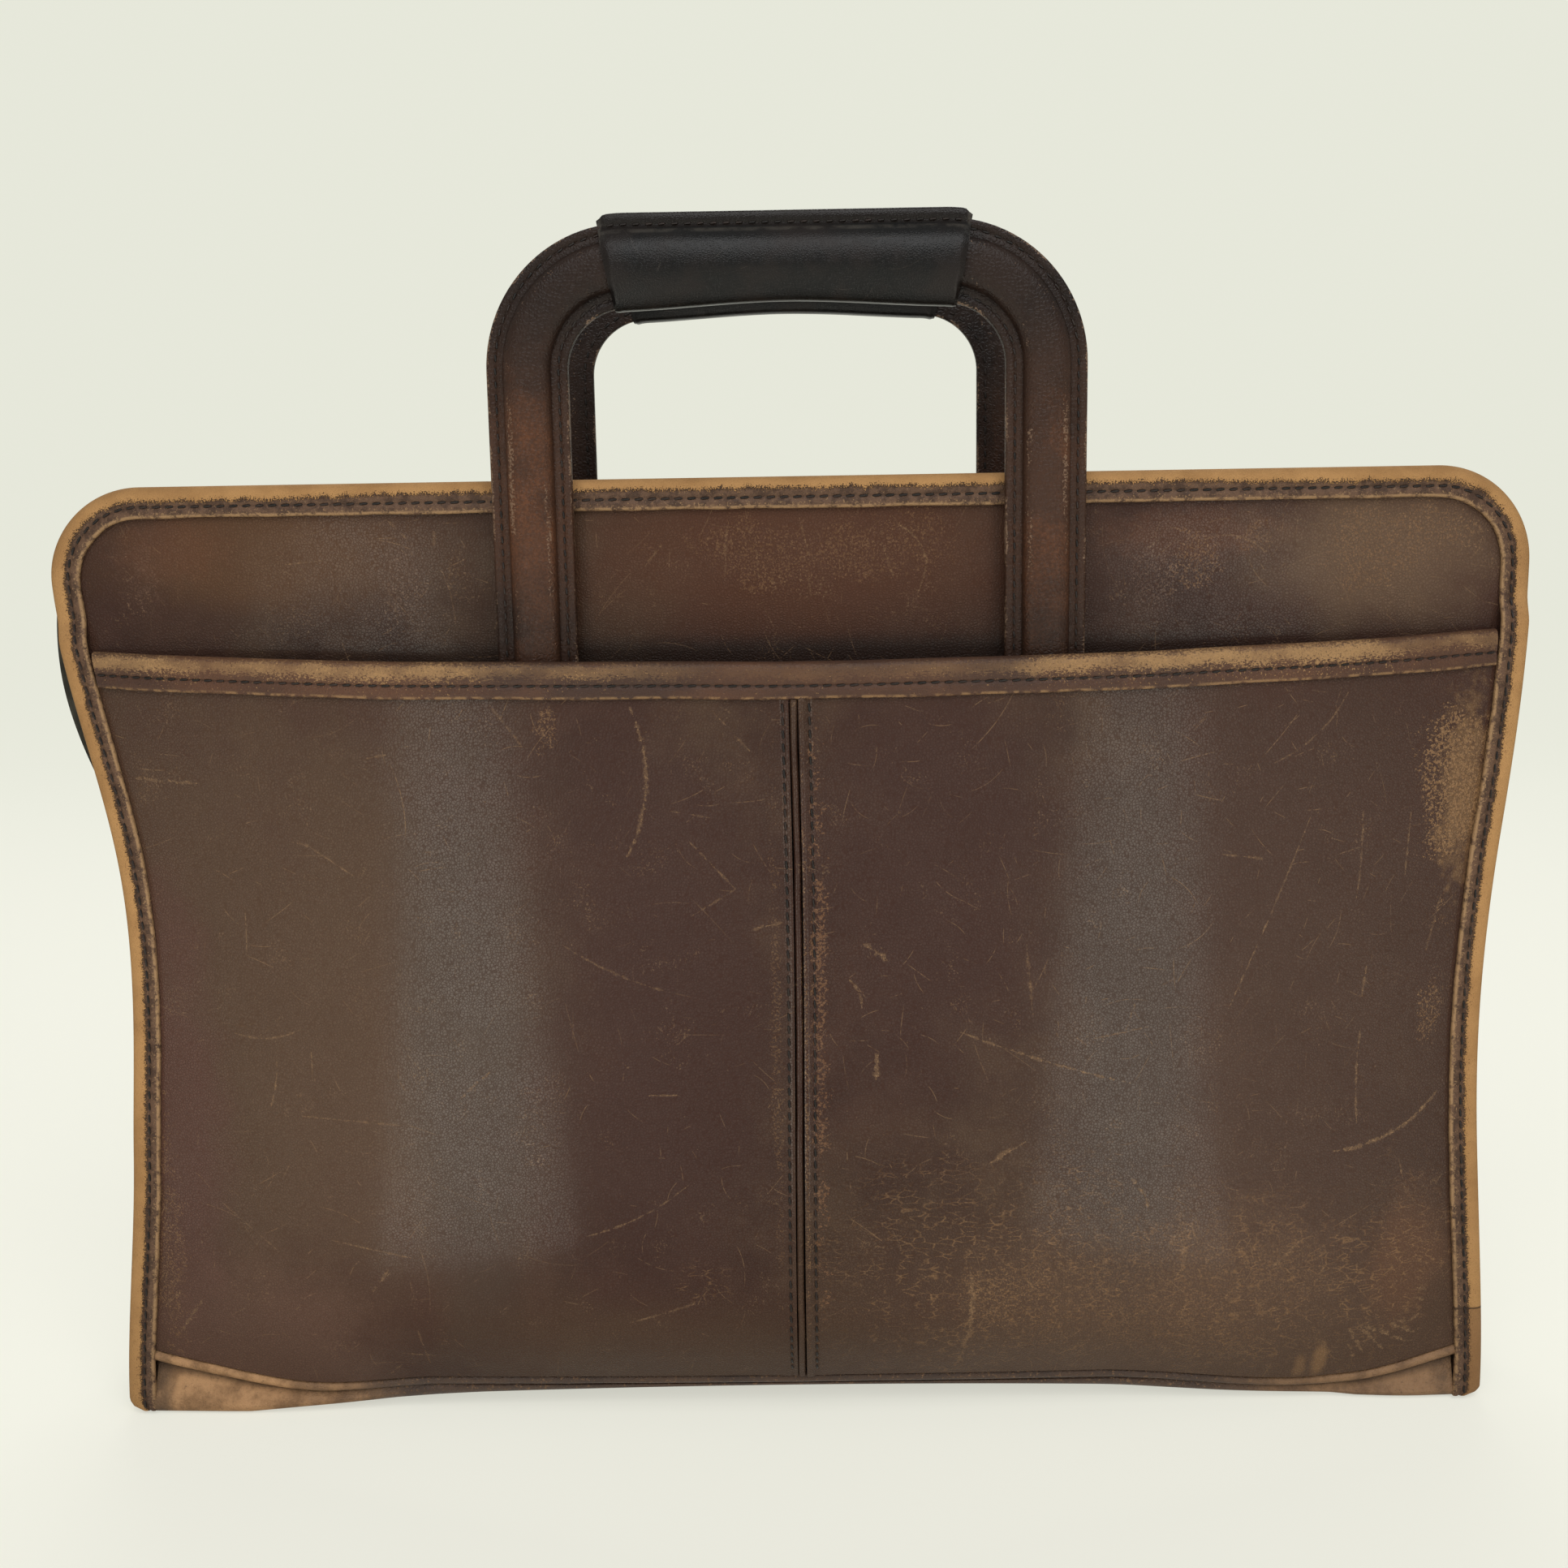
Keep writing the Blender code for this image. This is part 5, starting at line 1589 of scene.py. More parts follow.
@dataclass
class CaseFace(Assembly):
    """One face of the case: panel, edge binding, pocket with its rim, and the handle's keepers."""

    face: Face
    form: CaseForm
    thread: Thread = Thread()
    rim_height: float = 10.5 * MM
    rim_stitch: float = 6.6 * MM
    edge_stitch: float = 5.8 * MM
    foot_round: float = 4.2 * MM
    seam_stitch: dict[Hand, float] = field(
        default_factory=lambda: {Hand.LEFT: 3.1 * MM, Hand.RIGHT: 4.5 * MM}
    )
    welt: float = 1.1 * MM
    keeper_low: float = 170 * MM
    keeper_high: float = 200 * MM
    dent: float = 1.6 * MM
    swell: float = 1.1 * MM

    @property
    def prefix(self) -> str:
        """The face's name."""
        return f"{self.face.label}_"

    @property
    def body(self) -> str:
        """The half of the case that this face belongs to."""
        return self.face.body

    def point(self, x: float, depth: float, z: float) -> Point:
        """A point of this face, from its depth off the middle plane."""
        return self.form.settle((x, self.face.value * depth, z))

    def hole(self, x: float, depth: float, z: float) -> tuple[Vector, Vector]:
        """A place to sew through on this face, with the way out of it."""
        return Vector(self.point(x, depth, z)), self.face.out

    def build(self) -> None:
        """Builds and hangs every piece of the face."""
        self.build_panel()
        for hand in Hand:
            self.build_pocket(hand)
            self.build_keeper(hand)
        self.build_seam()
        self.build_rim()
        self.build_binding()

    def build_panel(self) -> None:
        """The bowed main panel, a little dented between its edges."""
        form = self.form
        low = form.seam_end + form.seam_clear
        top = form.height - form.panel_inset
        rows = []
        for z in [0.0] + steps(low + 3 * MM, 222 * MM, 24) + steps(224 * MM, top, 44):
            half = form.half_at(max(z, low), form.panel_inset)
            row = []
            for share in spread(120):
                x = share * half
                level = max(z, form.seam(x) + form.seam_clear)
                inside = min(half - abs(x), top - level, level - low)
                calm = smooth((inside - 8 * MM) / (22 * MM))
                sunk = 0.5 + 0.5 * drift(x, level * 0.6, 24.0, 1.0 + self.face.value)
                depth = form.face(x) - self.dent * calm * sunk
                row.append((self.point(x, depth, level), self.point(x, depth - form.panel_leather, level)))
            rows.append(row)
        finish = self.wardrobe.panel(self.face)
        self.dress(Shape().skin(rows), "panel_hide", "panel_leather", finish, "panel")

    def pocket_depth(self, x: float, z: float, hand: Hand) -> float:
        """Depth of a pocket's outside, with its soft swells and the mound along the centre seam.

        Args:
            x: Distance from the middle, never negative.
            z: Height.
            hand: Which half of the pocket.

        Returns:
            The depth.
        """
        form = self.form
        depth = form.face(x) + form.pocket_gap(x, z) + form.pocket_leather
        edge = form.pocket_side(z) - x
        calm = smooth(edge / (30 * MM)) * smooth((z - form.seam(x)) / (40 * MM))
        calm *= smooth((form.pocket_top(x) - z) / (30 * MM))
        depth += self.swell * calm * (0.5 + 0.5 * drift(x * hand.value, z, 14.0, 4.0 + self.face.value))
        depth += 0.75 * MM * math.exp(-((x / (6.5 * MM)) ** 2))
        if hand is Hand.RIGHT:
            ridge = (x - 2.3 * MM) / (1.2 * MM)
            depth += 0.85 * MM * math.exp(-ridge * ridge)
        groove = (x - self.seam_stitch[hand]) / (0.65 * MM)
        return depth - 0.42 * MM * math.exp(-groove * groove)

    def build_pocket(self, hand: Hand) -> None:
        """One half of the outside pocket, from the centre seam into the edge binding."""
        form = self.form
        rows = []
        for share in [0.0, 0.012, 0.025] + steps(0.045, 1, 88):
            level = lerp(form.seam_end, form.pocket_top(form.half), share)
            edge = form.pocket_side(level)
            columns = steps(self.welt + form.gap, 10 * MM, 22)[:-1]
            columns += [lerp(10 * MM, edge, math.sin(math.pi / 2 * u)) for u in steps(0, 1, 64)]
            columns += steps(edge, form.half_at(level, form.panel_inset + form.gap), 4)[1:]
            row = []
            for x in columns:
                z = lerp(form.seam(x) + form.seam_clear, form.pocket_top(x) - form.panel_inset, share)
                lining = form.face(x) + form.pocket_gap(x, z)
                depths = (self.pocket_depth(x, z, hand), lining)
                row.append(tuple(self.point(hand.value * x, depth, z) for depth in depths))
            rows.append(row)
        finish = self.wardrobe.pocket(self.face, hand)
        part = f"pocket_{hand.label}"
        self.dress(Shape().skin(rows), f"{part}_hide", "pocket_leather", finish, part)

    def build_seam(self) -> None:
        """The raised centre seam of the pocket and its two rows of stitches."""
        form = self.form
        low = form.seam(0) + form.seam_clear
        high = form.pocket_top(0) - self.rim_height - form.gap
        sections = []
        for z in steps(low, high, 120):
            depth = form.face(0) + form.pocket_gap(0, z) + form.pocket_leather + 0.15 * MM
            sway = 0.25 * MM * drift(0.0, z, 60.0, 9.0)
            ring = [(sway + self.welt * u, depth + self.welt * v) for u, v in circle(12)]
            sections.append([self.point(x, level, z) for x, level in ring])
        finish = self.wardrobe.pocket(self.face, Hand.RIGHT)
        self.dress(Shape().rod(sections), "centre_seam", "pocket_leather", finish, "centre_welt")
        lines = []
        for hand in Hand:
            x = self.seam_stitch[hand]
            places = steps(low + 3 * MM, high - 0.5 * MM, 90)
            lines.append([self.hole(hand.value * x, self.pocket_depth(x, z, hand), z) for z in places])
        self.sew(self.thread, "centre_seam_stitches", "pocket_leather", *lines)

    def build_rim(self) -> None:
        """The binding over the pocket's mouth, with its row of stitches."""
        form = self.form
        reach = form.pocket_side(form.pocket_top(form.half) - self.rim_height) - 2 * form.gap
        sections, line, places = [], [], []
        across: list[float] = []
        for share in spread(230):
            x = share * reach
            top = form.pocket_top(x) + 0.35 * MM * drift(x, 0.0, 28.0, 2.0)
            room = form.pocket_gap(x, form.pocket_top(x))
            outer = form.face(x) + room + form.pocket_leather
            thin = max(form.gap, min(form.binding_leather, room - 2 * form.gap))
            front, back = outer + form.gap, outer - form.pocket_leather - form.gap
            low = top - self.rim_height + 0.3 * MM * drift(x, 1.0, 40.0, 3.0)
            wave = 0.15 * MM * drift(x, 2.0, 90.0, 5.0)
            stitch, groove = top - self.rim_stitch, front + 0.95 * MM
            loop = [(front + 0.1 * MM, low), (front + 1.1 * MM, low + 0.15 * MM)]
            loop += [(front + 1.42 * MM + wave, low + 0.9 * MM), (front + 1.45 * MM + wave, low + 2.2 * MM)]
            loop += [(front + 1.32 * MM, stitch - 0.7 * MM), (groove, stitch)]
            loop += [(front + 1.38 * MM, stitch + 0.7 * MM), (front + 1.62 * MM + wave, top - 4.2 * MM)]
            loop += [(front + 1.58 * MM + wave, top - 2.0 * MM), (front + 1.05 * MM, top - 0.6 * MM)]
            loop += [(outer - 0.1 * MM, top + 0.1 * MM), (back + 0.1 * MM, top - 0.1 * MM)]
            loop = curve_through(loop + [(back - thin, top - 1.1 * MM)], 3)
            loop += [(back - thin, top - 8.5 * MM), (back, top - 8.5 * MM)]
            loop += [(depth, top - form.binding_leather) for depth in (back, front)]
            sections.append([self.point(x, depth, z) for depth, z in loop])
            places.append(x / MM)
            across = [(top - z) / MM for _, z in loop]
            line.append(self.hole(x, groove, stitch))
        shape = Shape().rod(sections, across, places)
        self.dress(shape, "rim", "binding_leather", self.wardrobe.get(RimEdge("rim_leather")), "pocket_rim")
        self.sew(self.thread, "rim_stitches", "binding_leather", line)

    def binding_loop(self, edge: float, front: float, back: float, wave: float) -> list[Pair]:
        """A cross-section of the edge binding.

        Args:
            edge: Distance of its front edge from the outline.
            front: Where its front flange starts, from the panel's face.
            back: Where its back flange starts.
            wave: How far the roll swells here.

        Returns:
            Pairs of the distance from the outline and from the panel's face.
        """
        middle = (front + back) / 2
        loop = [(edge, front + 0.1 * MM), (edge - 0.05 * MM, front + 0.9 * MM)]
        loop += [(edge - 0.5 * MM, front + 1.3 * MM)]
        for inset, lift, share in (
            (7.4, 1.38, 0), (6.5, 1.2, 0), (self.edge_stitch / MM, 0.85, 0), (5.1, 1.2, 0),
            (4.0, 1.45, 1), (2.8, 1.42, 1), (1.6, 1.05, 1), (0.6, 0.2, 0),
        ):
            loop.append((inset * MM, front + lift * MM + share * wave))
        loop += [(0.1 * MM, lerp(front, middle, 0.6)), (0.0, middle), (0.1 * MM, lerp(back, middle, 0.6))]
        for inset, lift in (
            (0.6, 0.2), (1.6, 1.05), (3.2, 1.4), (5.2, 1.15), (5.8, 0.9),
            (6.5, 1.15), (8.4, 1.35), (8.95, 0.8), (9.0, 0.1),
        ):
            loop.append((inset * MM, back - lift * MM))
        return curve_through(loop, 2) + [(self.form.binding_leather, side) for side in (back, front)]

    def build_binding(self) -> None:
        """The binding folded round the panel's sides and top, with its row of stitches."""
        form = self.form
        mouth = form.pocket_top(form.half) + MM
        back = -(form.panel_leather + form.gap)
        sections, line, places = [], [], []
        across: list[float] = []
        for spot in form.edge(0.0, form.binding_foot, 1.3 * MM):
            away = self.foot_round - min(self.foot_round, spot.z - form.binding_foot)
            cut = self.foot_round - math.sqrt(self.foot_round**2 - away * away)
            covered = 1 - smooth((spot.z - mouth) / form.step_run)
            front = covered * (form.pocket_lift + form.pocket_leather) + form.gap
            wave = 0.16 * MM * drift(spot.along, 0.0, 55.0, 6.0 + self.face.value)
            edge = form.binding_width + 0.25 * MM * drift(spot.along, 0.0, 85.0, 8.0)
            loop = self.binding_loop(edge, front, back, wave)
            section = []
            for inset, offset in loop:
                inset += cut * (1 - inset / edge)
                x = spot.x - inset * spot.nx
                section.append(self.point(x, form.face(x) + offset, spot.z - inset * spot.nz))
            sections.append(section)
            places.append(spot.along / MM)
            across = [inset / MM for inset, _ in loop]
            x, z = (at - self.edge_stitch * way for at, way in ((spot.x, spot.nx), (spot.z, spot.nz)))
            line.append(self.hole(x, form.face(x) + front + 0.85 * MM, z))
        shape = Shape().rod(sections, across, places)
        finish = self.wardrobe.get(BoundEdge("binding_leather_worn"))
        self.dress(shape, "binding", "binding_leather", finish, "edge_binding")
        self.sew(self.thread, "binding_stitches", "binding_leather", line)

    def build_keeper(self, hand: Hand) -> None:
        """The loop inside the pocket that guides one leg of the handle."""
        form = self.form
        strap = HandleForm.of(self.face, form)
        inside = strap.width / 2 + strap.fit
        ridge = strap.ridge / 2 + strap.fit
        roof, shelf = strap.front + strap.fit, strap.back + strap.flange + strap.fit
        wall = 1.2 * MM
        side, foot = inside + wall, inside + wall + 7 * MM
        bridge = lerp(shelf, roof, 0.7)
        outer = [(foot, None), (side + 1.5 * MM, None), (side, shelf - 1.5 * MM)]
        outer += [(side - 0.6 * MM, shelf + wall), (ridge + wall, shelf + wall)]
        outer += [(ridge * 0.9 + wall, bridge + wall), (ridge * 0.55 + wall, roof + wall)]
        inner = [(foot, None), (inside + 0.4 * MM, None), (inside, shelf - 1.5 * MM), (inside, shelf)]
        inner += [(ridge, shelf), (ridge * 0.9, bridge), (ridge * 0.55, roof)]
        grids = []
        for half, lift in ((outer, wall), (inner, 0.0)):
            line = []
            for across, depth in [(-a, d) for a, d in half] + half[::-1]:
                x = strap.leg + across
                line.append((x, form.face(x) + form.gap + lift if depth is None else depth))
            levels = steps(self.keeper_low, self.keeper_high, 10)
            grids.append([[self.point(hand.value * x, depth, z) for x, depth in line] for z in levels])
        part = f"keeper_{hand.label}"
        self.dress(Shape().sheet(*grids), f"{part}_loop", "keeper_leather", self.wardrobe.keeper, part)


@dataclass(frozen=True)
class HandleForm:
    """Sizes of a handle's strap and the path that it follows."""

    case: CaseForm
    width: float = 23 * MM
    leather: float = 1.4 * MM
    ridge: float = 13.5 * MM
    rise: float = 7.2 * MM
    fit: float = 0.5 * MM
    leg: float = 73 * MM
    bend: float = 28.5 * MM
    top: float = 346.5 * MM
    end: float = 157.6 * MM
    grip_length: float = 104 * MM
    fin: float = 2.4 * MM
    hollow: float = 2.2 * MM
    shift: float = 0.0
    raised: float = 0.0

    @property
    def bend_x(self) -> float:
        """Distance from the middle to the centre of a bend."""
        return self.leg - self.bend

    @property
    def bend_z(self) -> float:
        """Height of the centre of a bend."""
        return self.top - self.bend

    def squeeze(self, x: float, across: float) -> float:
        """Draws the strap's lower edge in where the hand has pressed the grip."""
        if across > 0:
            return across
        return across + self.hollow * bell(x / (0.5 * self.grip_length)) * min(1.0, -across / (6 * MM))

    @property
    def flange(self) -> float:
        """Thickness of the two layers of leather beside the ridge."""
        return 2 * self.leather + self.case.gap

    @property
    def back(self) -> float:
        """Depth of the strap's back."""
        inner = self.leg - self.width / 2
        return self.case.face(inner) + 2 * self.case.gap + 2 * self.leather + self.fit

    @property
    def front(self) -> float:
        """Depth of the ridge's front."""
        return self.back + self.rise

    @classmethod
    def of(cls, face: Face, case: CaseForm) -> HandleForm:
        """The front handle, or the back one, which is drawn in a little and stands higher."""
        if face is Face.FRONT:
            return cls(case)
        return cls(case, leg=71.0 * MM, shift=-0.8 * MM, raised=1.5 * MM)

    def path(self) -> list[EdgePoint]:
        """The strap's middle line from one leg's end over the grip to the other's."""
        left = [EdgePoint(-self.leg, z, -1.0, 0.0) for z in steps(self.end, self.bend_z, 64)]
        left += bend(-self.bend_x, self.bend_z, self.bend, math.pi, 26)[1:]
        return over(left, self.bend_z + self.bend, self.bend_x, 30)

    def grip_path(self) -> list[EdgePoint]:
        """The part of the strap's line that the grip covers."""
        turn = (self.grip_length / 2 - self.bend_x) / (self.bend + self.width / 2)
        left = bend(-self.bend_x, self.bend_z, self.bend, math.pi / 2 + turn, 8)
        return over(left, self.bend_z + self.bend, self.bend_x, 44)


@dataclass
class Handle(Assembly):
    """A strap with a raised ridge and a padded grip, sliding in its keepers."""

    face: Face
    form: HandleForm
    thread: Thread = Thread(3.6 * MM, 2.15 * MM, 0.33 * MM)
    stitch: float = 8.9 * MM
    grip_stitch: float = 10.9 * MM

    @property
    def prefix(self) -> str:
        """The handle's name."""
        return f"{self.body}_"

    @property
    def body(self) -> str:
        """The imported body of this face's handle."""
        return f"{self.face.label}_handle"

    def swept(self, path: Sequence[EdgePoint], loop: Sequence[Pair]) -> list[list[Point]]:
        """Sections of a loop of across and depth pairs along a path."""
        made = []
        for spot in path:
            section = []
            for across, depth in loop:
                if spot.nz > 0.99:
                    across = self.form.squeeze(spot.x, across)
                section.append(self.point(spot, across, depth))
            made.append(section)
        return made

    def point(self, spot: EdgePoint, across: float, depth: float) -> Point:
        """A point beside the strap's path, where this handle hangs."""
        x = spot.x + across * spot.nx + self.form.shift
        return (x, self.face.value * depth, spot.z + across * spot.nz + self.form.raised)

    def build(self) -> None:
        """Builds the strap, its stitches and the grip."""
        self.build_strap()
        self.build_grip()

    def build_strap(self) -> None:
        """The ridged cover and flat backing, sewn together along both edges."""
        form = self.form
        half = form.width / 2
        seat = form.back + form.leather + form.case.gap
        top = form.back + form.flange
        flank = [(half - 0.15 * MM, seat), (half, seat + 0.5 * MM), (half - 0.15 * MM, top - 0.35 * MM)]
        flank += [(half - 0.7 * MM, top), (self.stitch + 0.6 * MM, top - 0.05 * MM)]
        flank += [(self.stitch, top - 0.35 * MM), (self.stitch - 0.6 * MM, top + 0.02 * MM)]
        flank = curve_through(flank, 2)
        loop = list(flank)
        for u, v in turns(0, math.pi, 22):
            wide = math.copysign(abs(u) ** 0.62, u) * (form.ridge / 2)
            loop.append((wide, top + (form.front - top) * v**0.8))
        loop += [(-across, depth) for across, depth in reversed(flank)]
        hollow = form.ridge / 2 - form.leather
        for u, v in turns(math.pi, 0, 10):
            loop.append((u * hollow, seat + (form.front - form.leather - seat) * v))
        wear = 1.0 if self.face is Face.FRONT else 0.3
        finish = self.wardrobe.get(StrapHide(f"{self.face.label}_strap_leather", wear=wear))
        flat = form.back + form.leather
        under = [(half - 0.4 * MM, form.back), (half, form.back + 0.4 * MM)]
        under += [(half, flat - 0.3 * MM), (half - 0.2 * MM, flat)]
        under += [(-across, depth) for across, depth in reversed(under)]
        path = form.path()
        places = [spot.along / MM for spot in path]
        for section, part, node in ((loop, "strap", "cover"), (under, "lining", "backing")):
            shape = Shape().rod(self.swept(path, section), [across / MM for across, _ in section], places)
            self.dress(shape, part, "handle_leather", finish, node)
        lines = []
        for across in (-self.stitch, self.stitch):
            for depth, out in ((top - 0.35 * MM, self.face.out), (form.back, -self.face.out)):
                lines.append([(Vector(self.point(spot, across, depth)), out) for spot in path])
        self.sew(self.thread, "stitches", "handle_leather", *lines)

    def grip_loop(self, low: float, shelf: float, half: float) -> list[Pair]:
        """The padded outside of the grip, from its stitched fin round its barrel and back.

        Args:
            low: Depth of the strap's back, with room.
            shelf: Depth of the strap's flange, with room.
            half: Half the strap's width, with room.

        Returns:
            Pairs of the distance across the strap and the depth.
        """
        form = self.form
        swell = form.front + form.case.gap + 1.8 * MM
        fin, stitch = half + form.fin, self.grip_stitch
        loop = [(fin - 0.1 * MM, low + 0.8 * MM), (fin + 0.1 * MM, lerp(low, shelf, 0.5))]
        loop += [(fin - 0.1 * MM, shelf - 0.5 * MM), (fin - 0.8 * MM, shelf)]
        loop += [(stitch + 0.8 * MM, shelf + 0.1 * MM), (stitch, shelf - 0.1 * MM)]
        loop += [(stitch - 0.9 * MM, shelf + 0.7 * MM)]
        top = [(8.6, 0.42), (6.4, 0.76), (3.4, 0.94)]
        loop += [(x * MM, lerp(shelf, swell, share)) for x, share in top]
        loop += [(0.0, swell), (-3.6 * MM, swell - 0.25 * MM)]
        under = [(-7.2, 0.80), (-10.2, 0.52), (-12.3, 0.16)]
        loop += [(x * MM, lerp(shelf, swell, share)) for x, share in under]
        loop += [(-half - 0.7 * MM, lerp(low, shelf, 0.6)), (-half - 0.5 * MM, low)]
        loop += [(-half + 0.8 * MM, low - 1.1 * MM), (-6.0 * MM, low - 1.35 * MM), (0.0, low - 1.4 * MM)]
        loop += [(6.0 * MM, low - 1.35 * MM), (half - 1.0 * MM, low - 1.0 * MM)]
        loop += [(half + 1.0 * MM, low - 0.1 * MM)]
        return curve_through(loop + loop[:1], 2)[:-1]

    def build_grip(self) -> None:
        """The padded black sleeve round the top of the strap."""
        form = self.form
        low, roof = form.back - form.case.gap, form.front + form.case.gap
        half = form.width / 2 + form.case.gap
        shelf = form.back + form.flange + form.case.gap
        loop = self.grip_loop(low, shelf, half)
        lining = []
        for across, depth in loop:
            limit = shelf if abs(across) > form.ridge / 2 + 0.3 * MM else roof
            a = max(-half, min(half, across))
            lining.append((a, max(low, min(limit, depth - 0.9 * MM if depth > low + MM else low))))
        path = form.grip_path()
        outer = []
        for i, spot in enumerate(path):
            end = min(i, len(path) - 1 - i)
            tuck = 1 - 0.55 * (1 - smooth(end / 2.5))
            puff = 0.35 * MM * drift(spot.x, 0.0, 45.0, 11.0 + self.face.value)
            drawn = []
            for (across, depth), (a, d) in zip(loop, lining):
                grow = puff if abs(across) < 9 * MM and depth > shelf else 0.0
                drawn.append((lerp(a, across, tuck), lerp(d, depth + grow, tuck)))
            outer += self.swept([spot], drawn)
        shape = Shape().sleeve(outer, self.swept(path, lining), [across / MM for across, _ in loop])
        finish = self.wardrobe.get(GripHide("grip_leather_black"))
        grip = self.dress(shape, "padded_grip", "grip_leather", finish, "grip")
        line = [(Vector(self.point(spot, self.grip_stitch, shelf)), self.face.out) for spot in path[2:-2]]
        self.sew(self.thread, "grip_stitches", "grip_leather", line)


@dataclass
class Base(Assembly):
    """The arched base with its piping, and the pleated gussets at both ends."""

    form: CaseForm
    leather: float = 2.2 * MM
    round_over: float = 3.2 * MM
    proud: float = 1.0 * MM
    piping: float = 1.65 * MM
    gusset_leather: float = 1.5 * MM
    gusset_top: float = 188 * MM
    open_angle: float = math.radians(14)

    def build(self) -> None:
        """Builds and hangs every piece of the base."""
        self.build_tray()
        for face in Face:
            self.build_piping(face)
        for hand in Hand:
            self.build_gusset(hand)

    def bulge(self, x: float) -> float:
        """How far the base's wall pushes out towards its corners, more at the left."""
        if x < 0:
            return 4.6 * MM * smooth((-x - 105 * MM) / (75 * MM))
        return 3.9 * MM * smooth((x - 150 * MM) / (42 * MM))

    def tray_line(self, depth: float, flare: float, low: float, top: float, turn: float) -> list[Pair]:
        """Half a cross-section of the tray, down its front wall and under to the middle.

        Args:
            depth: Depth of the wall at its lower corner.
            flare: How far its upper edge lies behind that.
            low: Height of the underside.
            top: Height of the wall's upper edge.
            turn: Radius of the lower corner.

        Returns:
            Pairs of depth and height.
        """
        turn = min(turn, (top - low) * 0.8)
        line = [(depth - flare * (1 - u), lerp(top, low + turn, u)) for u in steps(0, 1, 4)]
        line += [(depth - turn + turn * u, low + turn - turn * v) for u, v in turns(0, math.pi / 2, 6)[1:]]
        return line + [(y, low) for y in steps(depth - turn, 0, 4)[1:]]

    def build_tray(self) -> None:
        """The leather tray, its two ends shaped to the edge bindings."""
        form = self.form
        outer, inner = [], []
        for share in spread(130):
            x = share * form.base_reach
            foot = share * form.base_half(0)
            swell = max(self.proud, self.bulge(x))
            depth = form.face(x) + swell
            low, top = form.arch(x), form.seam(x) - form.seam_clear
            for grid, skin, turn in ((outer, 0.0, self.round_over), (inner, self.leather, 1.2 * MM)):
                half = self.tray_line(depth - skin, swell - 0.2 * MM, low + skin, top, turn)
                row = []
                for y, z in [(-y, z) for y, z in half] + half[-2::-1]:
                    across = lerp(foot, x, (z - low) / max(1e-6, top - low))
                    row.append(form.settle((across, y, z)))
                grid.append(row)
        # Share down the wall from its top edge, which places the painted shadow under the piping.
        down = [*steps(0, 1, 4), *[1.0] * 10]
        shape = Shape().sheet(outer, inner, down + down[-2::-1])
        self.dress(shape, "base_hide", "base_leather", self.wardrobe.base, "base_leather")

    def build_piping(self, face: Face) -> None:
        """The piping in the seam between a panel and the base."""
        form = self.form
        sections = []
        for share in spread(200):
            x = share * form.base_reach
            girth = self.piping * (1 + 0.06 * drift(x, 0.0, 120.0, 12.0))
            middle = form.face(x) + 1.3 * self.proud + 0.2 * self.bulge(x)
            ring = [(face.value * (middle + girth * u), form.seam(x) + girth * v) for u, v in circle(12)]
            sections.append([form.settle((x, y, z)) for y, z in ring])
        # A share of 1 keeps the painted shadow under the piping off the piping itself.
        shape = Shape().rod(sections, [1.0] * 12)
        node = f"{face.label}_bottom_welt"
        self.dress(shape, f"{face.label}_piping", "base_leather", self.wardrobe.base, node)

    def build_gusset(self, hand: Hand) -> None:
        """The soft V pleat at one end, built at one fixed opening."""
        form = self.form
        rows = []
        for z in steps(form.binding_foot + self.leather, self.gusset_top, 60):
            x = form.side_at(z) - form.binding_width * 0.6
            edge = form.inner_depth(x)
            wide = edge + max(0.0, z - form.seam_end) * math.sin(self.open_angle) / 2
            fold = math.sqrt(max(0.0, wide * wide - edge * edge))
            shift = self.gusset_leather * wide / edge
            sag = 0.5 * MM * drift(0.0, z, 30.0, 13.0 + hand.value)
            row = []
            for u in steps(-1, 1, 28):
                soft = math.sqrt(u * u + 0.012) / math.sqrt(1.012)
                reach = x - (fold + sag * smooth(fold / (4 * MM))) * (1 - soft)
                ends = (reach, reach - shift)
                row.append(tuple(form.settle((hand.value * end, u * edge, z)) for end in ends))
            rows.append(row)
        name = f"{hand.label}_gusset"
        piece = Shape().skin(rows).made(f"{name}_pleat", self.wardrobe.gusset, self.wardrobe.flesh)
        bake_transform(piece)
        self.note(piece, "gusset_leather", name)


